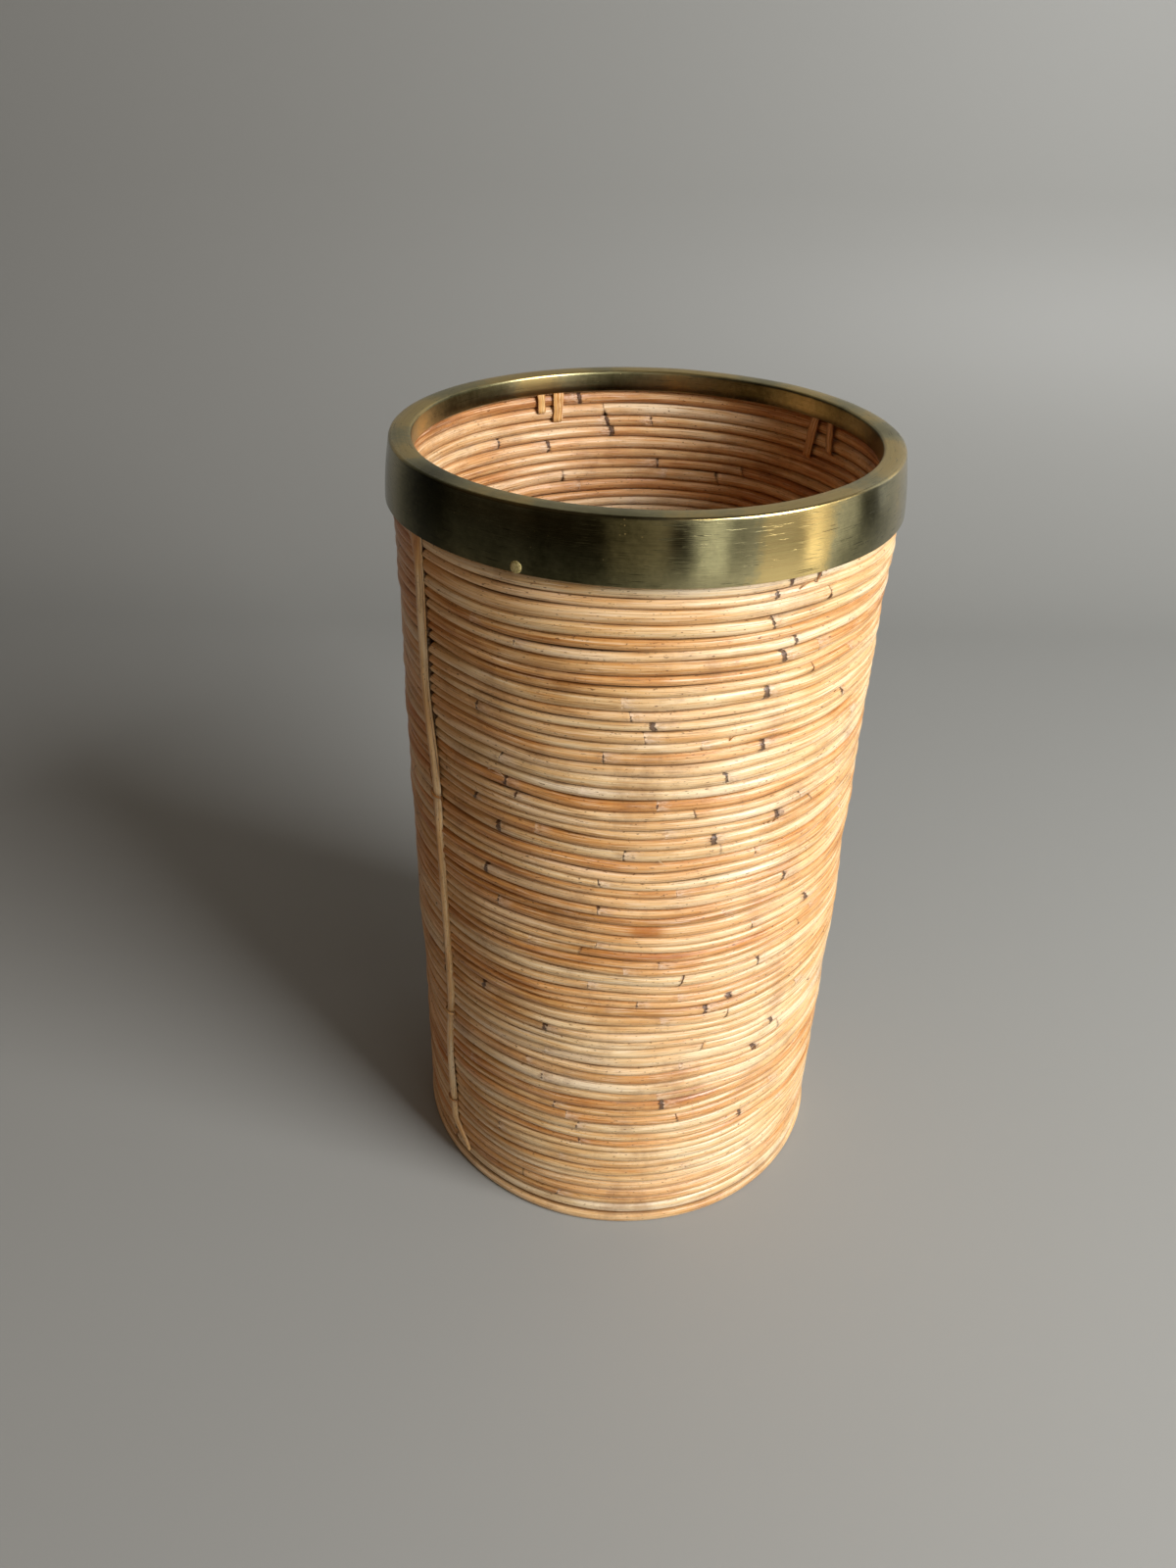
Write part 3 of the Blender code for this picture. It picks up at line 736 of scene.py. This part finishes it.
def buildLashes(material):
    # flat strips of cane tucked behind the lip, pulled down over the courses and in between two of them
    for number, (drop, halfWidth, slant, tone) in enumerate(lash["runs"], 1):
        low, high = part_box("inner_lash_%d" % number)
        azimuth = math.degrees(math.atan2((low.x + high.x) / 2, -(low.y + high.y) / 2))
        radius = math.hypot((low.x + high.x) / 2, (low.y + high.y) / 2)
        lipBottom = rimTop - rim["lipHeight"]
        top = lipBottom + lash["hidden"]
        bottom = lipBottom - drop
        count = math.ceil((top - bottom) / lash["step"])
        stations = []
        for k in range(count + 1):
            share = k / count
            height = top + (bottom - top) * share
            turn = azimuth + slant * share
            dive = max(0.0, (share - 0.86) / 0.14)
            dip = lash["bulge"] * math.cos(math.tau * (height - lipBottom) / reed["pitch"])
            inside = radius - 0.0003 * min(1.0, share * 3) + dip + lash["tuck"] * dive ** 2
            out = outward(turn)
            centre = out * inside
            centre.z = height
            width = halfWidth * (1 + 0.07 * math.sin(share * 9 + number)) * (1 - 0.25 * dive)
            section = frameAt(centre, sideways(turn), out * -1, width, lash["halfThickness"])
            stations.append((section, width))
        bm = newBody()
        addStrip(bm, stations, {"sides": 12, "square": 0.6, "seed": 50.0 + number, "tone": tone})
        bmesh.ops.recalc_face_normals(bm, faces=bm.faces)
        finishPiece("innerLash%d" % number, bm, material, ["inner_lash_%d" % number])
    print("lashes made")


def brassMaterial():
    # Sheet brass left to age: an olive brown patina, gold where hands rub it through and where painted
    # reflections mark the band's glints, fine hairlines that run round the band, a few dark scratches and
    # pale pinhead dots that are painted glints.
    material, tree, shader = newMaterial("agedSheetBrass")
    here = addNode(tree, "TexCoord").outputs["Object"]
    place = addNode(tree, "Attribute", {"attribute_name": "place"}).outputs["Vector"]
    # the third measure is how bright the brass is: rubbed through, and painted reflection at the band's
    # glints
    polishAndGlint = addNode(tree, "SeparateXYZ", links={"Vector": place}).outputs[2]
    cloud = addNode(tree, "TexNoise", {"Scale": 24.0, "Detail": 6.0, "Roughness": 0.62}, {"Vector": here})
    fine = addNode(tree, "TexNoise", {"Scale": 380.0, "Detail": 4.0, "Roughness": 0.6}, {"Vector": here})
    mottle = addNode(tree, "Math", {"operation": "MULTIPLY_ADD", 1: 0.55},
                     {0: cloud.outputs["Fac"], 2: polishAndGlint})
    mottle = addNode(tree, "Math", {"operation": "MULTIPLY_ADD", 1: 0.22},
                     {0: fine.outputs["Fac"], 2: mottle.outputs[0]})
    colour = addNode(tree, "ValToRGB", {"stops": [
        (0.25, "#2C2A18"), (0.42, "#4F4B31"), (0.62, "#7F7957"), (0.85, "#AAA077"), (1.0, "#CFB679")]},
        {"Fac": mottle.outputs[0]})
    # hairlines 0.5 mm apart and tens of millimetres long, coarser than life so that they show
    lineSpace = addNode(tree, "Mapping", {"Scale": (16, 1900, 0)}, {"Vector": place})
    lines = addNode(tree, "TexNoise", {"Scale": 1.0, "Detail": 3.0, "Roughness": 0.7},
                    {"Vector": lineSpace.outputs["Vector"]})
    scratchSpace = addNode(tree, "Mapping", {"Scale": (60, 2300, 0), "Rotation": (0, 0, 0.02)},
                           {"Vector": place})
    scratches = addNode(tree, "TexNoise", {"Scale": 1.0, "Detail": 2.0, "Roughness": 0.5},
                        {"Vector": scratchSpace.outputs["Vector"]})
    scratch = addNode(tree, "ValToRGB", {"stops": [(0.65, 0.0), (0.71, 1.0)]},
                      {"Fac": scratches.outputs["Fac"]})
    # pale pinhead dots here and there: painted glints
    glintDotCells = addNode(tree, "TexVoronoi", {"Scale": 300.0}, {"Vector": here})
    glintDot = addNode(tree, "ValToRGB", {"stops": [(0.04, 1.0), (0.11, 0.0)]},
                  {"Fac": glintDotCells.outputs["Distance"]})
    rare = addNode(tree, "TexNoise", {"Scale": 55.0, "Detail": 2.0}, {"Vector": here})
    rareMask = addNode(tree, "ValToRGB", {"stops": [(0.56, 0.0), (0.66, 1.0)]},
                       {"Fac": rare.outputs["Fac"]})
    glintDotShare = addNode(tree, "Math", {"operation": "MULTIPLY"},
                       {0: glintDot.outputs["Color"], 1: rareMask.outputs["Color"]})
    lined = addNode(tree, "MixRGB", {"blend_type": "OVERLAY", "Fac": 0.28},
                    {"Color1": colour.outputs["Color"], "Color2": lines.outputs["Fac"]})
    scratched = addNode(tree, "MixRGB", {"Color2": hexColour("#241E0E")},
                        {"Fac": scratch.outputs["Color"], "Color1": lined.outputs["Color"]})
    glintDotted = addNode(tree, "MixRGB", {"Color2": hexColour("#D2BD86")},
                     {"Fac": glintDotShare.outputs[0], "Color1": scratched.outputs["Color"]})
    tree.links.new(glintDotted.outputs["Color"], shader.inputs["Base Color"])
    # the flat top and the lip are rubbed matt; upProfile runs from the band's foot over the top, in metres
    upProfile = addNode(tree, "SeparateXYZ", links={"Vector": place}).outputs[1]
    matt = addNode(tree, "ValToRGB", {"stops": [
        (0.0300, 0.0), (0.0330, 0.24), (0.0420, 0.24), (0.0450, 0.15)]}, {"Fac": upProfile})
    rough = addNode(tree, "Math", {"operation": "MULTIPLY_ADD", 1: 0.18},
                    {0: cloud.outputs["Fac"], 2: matt.outputs["Color"]})
    rough = addNode(tree, "Math", {"operation": "ADD", 1: 0.07}, {0: rough.outputs[0]})
    tree.links.new(rough.outputs[0], shader.inputs["Roughness"])
    shader.inputs["Metallic"].default_value = 1.0
    ripple = addNode(tree, "TexNoise", {"Scale": 34.0, "Detail": 2.0}, {"Vector": here})
    bump = addNode(tree, "Bump", {"Strength": 0.30, "Distance": 0.0006}, {"Height": ripple.outputs["Fac"]})
    bump = addNode(tree, "Bump", {"Strength": 0.40, "Distance": 0.00007},
                   {"Height": lines.outputs["Fac"], "Normal": bump.outputs["Normal"]})
    bump = addNode(tree, "Bump", {"Strength": 0.3, "Distance": 0.0001, "invert": True},
                   {"Height": scratch.outputs["Color"], "Normal": bump.outputs["Normal"]})
    tree.links.new(bump.outputs["Normal"], shader.inputs["Normal"])
    return material


rim = {
    "sheet": 0.0009,
    "flare": 0.0035,      # the band is this much narrower at its top
    "lipHeight": 0.0117,
    "lipInside": 0.1199,
    "cornerOuter": 0.0017,
    "cornerInner": 0.0018,
    "crown": 0.0003,      # the top is softly crowned between its corners
    "steps": 288,
    # azimuth, half width in degrees and strength of the patches rubbed bright; those at -64, -26, 14 and 30
    # degrees are also painted reflection where the band glints
    "polishAndGlint": ((30, 7, 0.55), (14, 9, 0.22), (46, 20, 0.18), (72, 14, 0.2), (118, 16, 0.3), (170, 22, 0.25),
               (-150, 14, 0.3), (-98, 12, 0.25), (-26, 3, 0.15), (-64, 6, 0.2)),
}


def rimProfile():
    # outline of the bent sheet as (radius, height), down the inside of the band and back up outside
    top = rimTop - rim["crown"]
    outerTop = rimRadius - rim["flare"]
    flatOut = outerTop - rim["cornerOuter"]
    flatIn = rim["lipInside"] + rim["cornerInner"]
    lipBottom = rimTop - rim["lipHeight"]
    points = []
    for k in range(9):
        share = k / 8
        bulge = 0.0003 * math.sin(math.pi * share)
        points.append((rimRadius - rim["flare"] * share ** 1.2 + bulge,
                       bandBottom + 0.0003 + (top - rim["cornerOuter"] - bandBottom - 0.0003) * share))
    for k in range(1, 7):
        turn = math.pi / 2 * k / 6
        points.append((flatOut + rim["cornerOuter"] * math.cos(turn),
                       top - rim["cornerOuter"] * (1 - math.sin(turn))))
    for k in range(1, 6):
        share = k / 6
        crowned = top + rim["crown"] * math.sin(math.pi * share)
        points.append((flatOut + (flatIn - flatOut) * share, crowned))
    for k in range(7):
        turn = math.pi / 2 * k / 6
        points.append((flatIn - rim["cornerInner"] * math.sin(turn),
                       top - rim["cornerInner"] * (1 - math.cos(turn))))
    points += [
        (rim["lipInside"], lipBottom + 0.004), (rim["lipInside"], lipBottom + 0.0004),
        (rim["lipInside"] + 0.0004, lipBottom), (rim["lipInside"] + rim["sheet"], lipBottom + 0.0003),
        (rim["lipInside"] + rim["sheet"], top - rim["cornerInner"]), (flatIn, top - rim["sheet"]),
        (flatOut, top - rim["sheet"]), (outerTop - rim["sheet"], top - rim["cornerOuter"]),
        (rimRadius - rim["sheet"], bandBottom + 0.0003), (rimRadius - 0.0004, bandBottom),
    ]
    return points


def buildRim(material):
    bm = bmesh.new()
    place = bm.verts.layers.float_vector.new("place")
    verts = [bm.verts.new((radius, 0, height)) for radius, height in rimProfile()]
    travelled = 0.0
    for i, vert in enumerate(verts):
        if i:
            travelled += (vert.co - verts[i - 1].co).length
        vert[place] = (0, travelled, 0)
    edges = [bm.edges.new(pair) for pair in zip(verts, verts[1:] + verts[:1])]
    bmesh.ops.spin(bm, geom=verts + edges, cent=(0, 0, 0), axis=(0, 0, 1), angle=math.tau,
                   steps=rim["steps"], use_merge=True)
    bmesh.ops.recalc_face_normals(bm, faces=bm.faces)
    for vert in bm.verts:
        angle = math.atan2(vert.co.y, vert.co.x)
        azimuth = math.degrees(math.atan2(vert.co.x, -vert.co.y))
        ring = Vector((math.cos(angle), math.sin(angle), 0))
        polishAndGlint = 0.22 + 0.35 * noise.noise(ring * 3.1 + Vector((0, 0, vert.co.z * 20)))
        # rubbed patches, some of them painted reflection where the band glints
        for middle, half, strength in rim["polishAndGlint"]:
            away = (azimuth - middle + 180) % 360 - 180
            polishAndGlint += strength * math.exp(-(away / half) ** 2)
        if vert.co.z > rimTop - rim["cornerOuter"] * 0.7:
            polishAndGlint += 0.22
        elif math.hypot(vert.co.x, vert.co.y) < rim["lipInside"] + rim["cornerInner"]:
            polishAndGlint -= 0.15
        vert[place] = (angle * rimRadius, vert[place].y, polishAndGlint)
        # the sheet was bent by hand, so it is never quite true
        swell = noise.noise(ring * 2.3 + Vector((0, 0, vert.co.z * 12))) * 0.00035
        swell += noise.noise(ring * 6.0 + Vector((0, 0, vert.co.z * 30))) * 0.00012
        level = noise.noise(ring * 1.6 + Vector((0, 0, 9.0))) * 0.0004
        distance = math.hypot(vert.co.x, vert.co.y) - abs(swell)
        vert.co = (math.cos(angle) * distance, math.sin(angle) * distance, vert.co.z - abs(level))
    finishPiece("brassRim", bm, material, ["brass_rim"])
    print("rim made")


tack = {"headRadius": 0.0030, "dome": 0.0007, "shankRadius": 0.0007, "shankLength": 0.0050, "steps": 28}


def tackMaterial():
    # Stamped brass nail head dulled by tiny dents, paler than the band as a painted highlight, so it reads
    # as a soft gold dot
    material, tree, shader = newMaterial("dulledBrassNail")
    here = addNode(tree, "TexCoord").outputs["Object"]
    dents = addNode(tree, "TexNoise", {"Scale": 900.0, "Detail": 3.0}, {"Vector": here})
    # pale gold ramp: painted highlight on the head
    colour = addNode(tree, "ValToRGB", {"stops": [(0.35, "#96884F"), (0.6, "#D2C088")]},
                     {"Fac": dents.outputs["Fac"]})
    tree.links.new(colour.outputs["Color"], shader.inputs["Base Color"])
    shader.inputs["Metallic"].default_value = 0.55
    shader.inputs["Roughness"].default_value = 0.42
    bump = addNode(tree, "Bump", {"Strength": 0.6, "Distance": 0.0002}, {"Height": dents.outputs["Fac"]})
    tree.links.new(bump.outputs["Normal"], shader.inputs["Normal"])
    return material


def buildTack(number, material):
    # domed head and straight shank turned in one, driven square through the band
    low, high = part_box("rim_tack_%d" % number)
    middle = (low + high) / 2
    azimuth = math.degrees(math.atan2(middle.x, -middle.y))
    bm = bmesh.new()
    outline = [(0.0, tack["dome"])]
    for k in range(1, 7):
        turn = math.pi / 2 * k / 6
        outline.append((tack["headRadius"] * math.sin(turn), tack["dome"] * math.cos(turn)))
    outline += [(tack["headRadius"] * 0.94, -0.0002), (tack["shankRadius"], -0.0002),
                (tack["shankRadius"], -tack["shankLength"]), (0.0, -tack["shankLength"] - 0.0008)]
    verts = [bm.verts.new((radius, 0, height)) for radius, height in outline]
    edges = [bm.edges.new(pair) for pair in zip(verts, verts[1:])]
    bmesh.ops.spin(bm, geom=verts + edges, cent=(0, 0, 0), axis=(0, 0, 1), angle=math.tau,
                   steps=tack["steps"], use_merge=True)
    bmesh.ops.remove_doubles(bm, verts=bm.verts, dist=0.00001)
    bmesh.ops.recalc_face_normals(bm, faces=bm.faces)
    lean = math.atan2(rim["flare"], rimTop - bandBottom)
    height = middle.z
    out = (outward(azimuth) * math.cos(lean) + Vector((0, 0, math.sin(lean)))).normalized()
    share = (height - bandBottom) / (rimTop - bandBottom)
    centre = outward(azimuth) * (rimRadius - rim["flare"] * share + 0.0001)
    centre.z = height
    turned = Matrix.Translation(centre) @ out.to_track_quat("Z", "Y").to_matrix().to_4x4()
    bmesh.ops.transform(bm, matrix=turned, verts=bm.verts)
    finishPiece("rimTack%d" % number, bm, material, ["rim_tack_%d" % number])


buildRim(brassMaterial())
tackFinish = tackMaterial()
for tackNumber in (1, 2, 3):
    buildTack(tackNumber, tackFinish)
buildLashes(caneFinish)


def plywoodMaterial():
    # Birch plywood, sanded and left bare: pale face with long flame grain, dark glue lines on its edge
    material, tree, shader = newMaterial("bareBirchPlywood")
    here = addNode(tree, "TexCoord").outputs["Object"]
    faceSpace = addNode(tree, "Mapping", {"Scale": (9, 110, 60)}, {"Vector": here})
    flame = addNode(tree, "TexNoise", {"Scale": 1.0, "Detail": 5.0, "Roughness": 0.6, "Distortion": 0.6},
                    {"Vector": faceSpace.outputs["Vector"]})
    pores = addNode(tree, "Mapping", {"Scale": (120, 1500, 60)}, {"Vector": here})
    pore = addNode(tree, "TexNoise", {"Scale": 1.0, "Detail": 2.0}, {"Vector": pores.outputs["Vector"]})
    poreMask = addNode(tree, "ValToRGB", {"stops": [(0.60, 0.0), (0.72, 0.55)]},
                       {"Fac": pore.outputs["Fac"]})
    colour = addNode(tree, "ValToRGB", {"stops": [(0.3, "#B98D58"), (0.5, "#CDA570"), (0.7, "#DDBC8A")]},
                     {"Fac": flame.outputs["Fac"]})
    # plies 1.6 mm thick, seen as bands up the edge
    height = addNode(tree, "SeparateXYZ", links={"Vector": here}).outputs[2]
    plies = addNode(tree, "Math", {"operation": "PINGPONG", 1: 0.0016}, {0: height})
    glue = addNode(tree, "ValToRGB", {"stops": [(0.0002, 0.7), (0.0005, 0.0)]}, {"Fac": plies.outputs[0]})
    surface = addNode(tree, "NewGeometry")
    upright = addNode(tree, "SeparateXYZ", links={"Vector": surface.outputs["Normal"]}).outputs[2]
    level = addNode(tree, "Math", {"operation": "ABSOLUTE"}, {0: upright})
    side = addNode(tree, "ValToRGB", {"stops": [(0.3, 1.0), (0.6, 0.0)]}, {"Fac": level.outputs[0]})
    glued = addNode(tree, "Math", {"operation": "MULTIPLY"},
                    {0: glue.outputs["Color"], 1: side.outputs["Color"]})
    pored = addNode(tree, "MixRGB", {"Color2": hexColour("#8A6236")},
                    {"Fac": poreMask.outputs["Color"], "Color1": colour.outputs["Color"]})
    lined = addNode(tree, "MixRGB", {"Color2": hexColour("#5E4227")},
                    {"Fac": glued.outputs[0], "Color1": pored.outputs["Color"]})
    tree.links.new(lined.outputs["Color"], shader.inputs["Base Color"])
    shader.inputs["Roughness"].default_value = 0.62
    bump = addNode(tree, "Bump", {"Strength": 0.25, "Distance": 0.0002}, {"Height": pore.outputs["Fac"]})
    tree.links.new(bump.outputs["Normal"], shader.inputs["Normal"])
    return material


base = {"edgeBevel": 0.0007, "border": 0.004, "steps": 128}


def buildBase(material):
    # sawn disc with its edges broken
    low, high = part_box("base_disc")
    bm = bmesh.new()
    made = bmesh.ops.create_circle(bm, cap_ends=True, segments=base["steps"], radius=high.x,
                                   matrix=Matrix.Translation((0, 0, low.z)))
    face = made["verts"][0].link_faces[0]
    raised = bmesh.ops.extrude_face_region(bm, geom=[face])["geom"]
    lifted = [item for item in raised if isinstance(item, bmesh.types.BMVert)]
    bmesh.ops.translate(bm, verts=lifted, vec=(0, 0, high.z - low.z))
    bmesh.ops.recalc_face_normals(bm, faces=bm.faces)
    rimEdges = [edge for edge in bm.edges if abs(edge.verts[0].co.z - edge.verts[1].co.z) < 1e-5]
    bmesh.ops.bevel(bm, geom=rimEdges, offset=base["edgeBevel"], offset_type="OFFSET", segments=2,
                    profile=0.5, affect="EDGES", material=-1)
    caps = [face for face in bm.faces if len(face.verts) > 4]
    bmesh.ops.inset_region(bm, faces=caps, thickness=base["border"])
    finishPiece("baseDisc", bm, material, ["base_disc"], 30)


def stakeMaterial():
    # Split cane laid upright: straight grain up the strip, matt and dusty
    material, tree, shader = newMaterial("splitCaneStake")
    here = addNode(tree, "TexCoord").outputs["Object"]
    space = addNode(tree, "Mapping", {"Scale": (620, 620, 22)}, {"Vector": here})
    lines = addNode(tree, "TexNoise", {"Scale": 1.0, "Detail": 5.0, "Roughness": 0.6},
                    {"Vector": space.outputs["Vector"]})
    colour = addNode(tree, "ValToRGB", {"stops": [(0.3, "#8A5F33"), (0.7, "#B98A55")]},
                     {"Fac": lines.outputs["Fac"]})
    tree.links.new(colour.outputs["Color"], shader.inputs["Base Color"])
    shader.inputs["Roughness"].default_value = 0.6
    bump = addNode(tree, "Bump", {"Strength": 0.3, "Distance": 0.0003}, {"Height": lines.outputs["Fac"]})
    tree.links.new(bump.outputs["Normal"], shader.inputs["Normal"])
    return material


plywoodFinish = plywoodMaterial()
buildBase(plywoodFinish)
hiddenFinishes = {"rim_hoop": plywoodFinish}
stakeFinish = stakeMaterial()
for stakeNumber in range(1, 9):
    hiddenFinishes["stake_%d" % stakeNumber] = stakeFinish
for nodeName, finish in hiddenFinishes.items():
    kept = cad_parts[nodeName]
    kept.data.materials.clear()
    kept.data.materials.append(finish)
print("base and hidden wood finished")

studio = {
    "floorColour": "#969692",
    "sweepStart": 0.75,
    "sweepRadius": 0.45,
    "worldColour": "#E8C59A",
    "worldStrength": 0.033,
    # name, azimuth, distance, height, width, tallness, watts, colour, whether brass reflects it
    "lights": (
        ("windowKey", 55, 2.10, 1.55, 1.25, 1.25, 90.0, "#FEFEFF", True),
        ("windowPane", 26, 1.80, 0.62, 0.42, 1.24, 2.2, "#F8FBF8", True),
        ("roomFront", 48.5, 1.90, 0.75, 1.05, 1.50, 1.9, "#FCFDFA", True),
        ("windowLow", 71, 1.70, 0.42, 0.28, 0.84, 1.15, "#FFF6E4", True),
        ("roomRight", 87, 1.70, 0.75, 0.62, 1.50, 2.0, "#FCFDFA", True),
        ("roomBack", 129, 1.90, 0.75, 1.30, 1.50, 4.0, "#F6F8FF", True),
        ("roomNear", -3, 1.90, 0.55, 0.80, 1.10, 1.1, "#FFF0DA", True),
        ("warmBounce", -72, 1.30, 0.45, 0.90, 0.80, 1.0, "#FFB877", False),
        ("softTop", -10, 0.40, 2.20, 2.00, 2.00, 2.2, "#FFF0DC", False),
    ),
    "lightTarget": (0.0, 0.0, 0.25),
    "cameraPlace": (-0.0257, -0.6078, 0.6343),
    "cameraDown": 32.74,      # degrees below level
    "cameraRoll": 1.346,
    "lens": 27.01,            # millimetres
    "sensor": 36.0,
}


def buildFloor():
    # pale sheet that curves up behind the stand
    material, tree, shader = newMaterial("paleFloorPaint")
    shader.inputs["Base Color"].default_value = hexColour(studio["floorColour"])
    shader.inputs["Roughness"].default_value = 0.55
    bm = bmesh.new()
    ring = [bm.edges.new((bm.verts.new((-6, -4, 0)), bm.verts.new((6, -4, 0))))]
    path = [(studio["sweepStart"], 0.0)]
    for k in range(1, 13):
        turn = math.pi / 2 * k / 12
        path.append((studio["sweepStart"] + studio["sweepRadius"] * math.sin(turn),
                     studio["sweepRadius"] * (1 - math.cos(turn))))
    path.append((studio["sweepStart"] + studio["sweepRadius"], 3.5))
    last = (-4.0, 0.0)
    for y, z in path:
        made = bmesh.ops.extrude_edge_only(bm, edges=ring)["geom"]
        ring = [item for item in made if isinstance(item, bmesh.types.BMEdge)]
        moved = [item for item in made if isinstance(item, bmesh.types.BMVert)]
        bmesh.ops.translate(bm, verts=moved, vec=(0, y - last[0], z - last[1]))
        last = (y, z)
    bmesh.ops.recalc_face_normals(bm, faces=bm.faces)
    mesh = bpy.data.meshes.new("studioFloor")
    bm.to_mesh(mesh)
    bm.free()
    mesh.shade_smooth()
    mesh.materials.append(material)
    floor = bpy.data.objects.new("studioFloor", mesh)
    bpy.context.scene.collection.objects.link(floor)


def addLight(name, azimuth, distance, height, width, tallness, watts, colour, reflected):
    data = bpy.data.lights.new(name, "AREA")
    data.shape = "RECTANGLE"
    data.size = width
    data.size_y = tallness
    data.energy = watts
    data.color = hexColour(colour)[:3]
    light = bpy.data.objects.new(name, data)
    bpy.context.scene.collection.objects.link(light)
    light.location = outward(azimuth) * distance + Vector((0, 0, height))
    aim = Vector(studio["lightTarget"]) - light.location
    light.rotation_euler = aim.to_track_quat("-Z", "Y").to_euler()
    light.visible_camera = False
    light.visible_glossy = reflected


def addCamera():
    data = bpy.data.cameras.new("mainView")
    data.lens = studio["lens"]
    data.sensor_width = studio["sensor"]
    data.sensor_fit = "AUTO"
    data.clip_start = 0.02
    camera = bpy.data.objects.new("mainView", data)
    bpy.context.scene.collection.objects.link(camera)
    tilt = Matrix.Rotation(math.radians(90 - studio["cameraDown"]), 4, "X")
    roll = Matrix.Rotation(math.radians(studio["cameraRoll"]), 4, "Z")
    camera.matrix_world = Matrix.Translation(studio["cameraPlace"]) @ tilt @ roll
    bpy.context.scene.camera = camera


buildFloor()
for lightSettings in studio["lights"]:
    addLight(*lightSettings)
world = bpy.data.worlds.new("studioWorld")
world.use_nodes = True
world.node_tree.nodes["Background"].inputs["Color"].default_value = hexColour(studio["worldColour"])
world.node_tree.nodes["Background"].inputs["Strength"].default_value = studio["worldStrength"]
bpy.context.scene.world = world
bpy.context.scene.view_settings.view_transform = "Standard"
addCamera()
print("studio made")
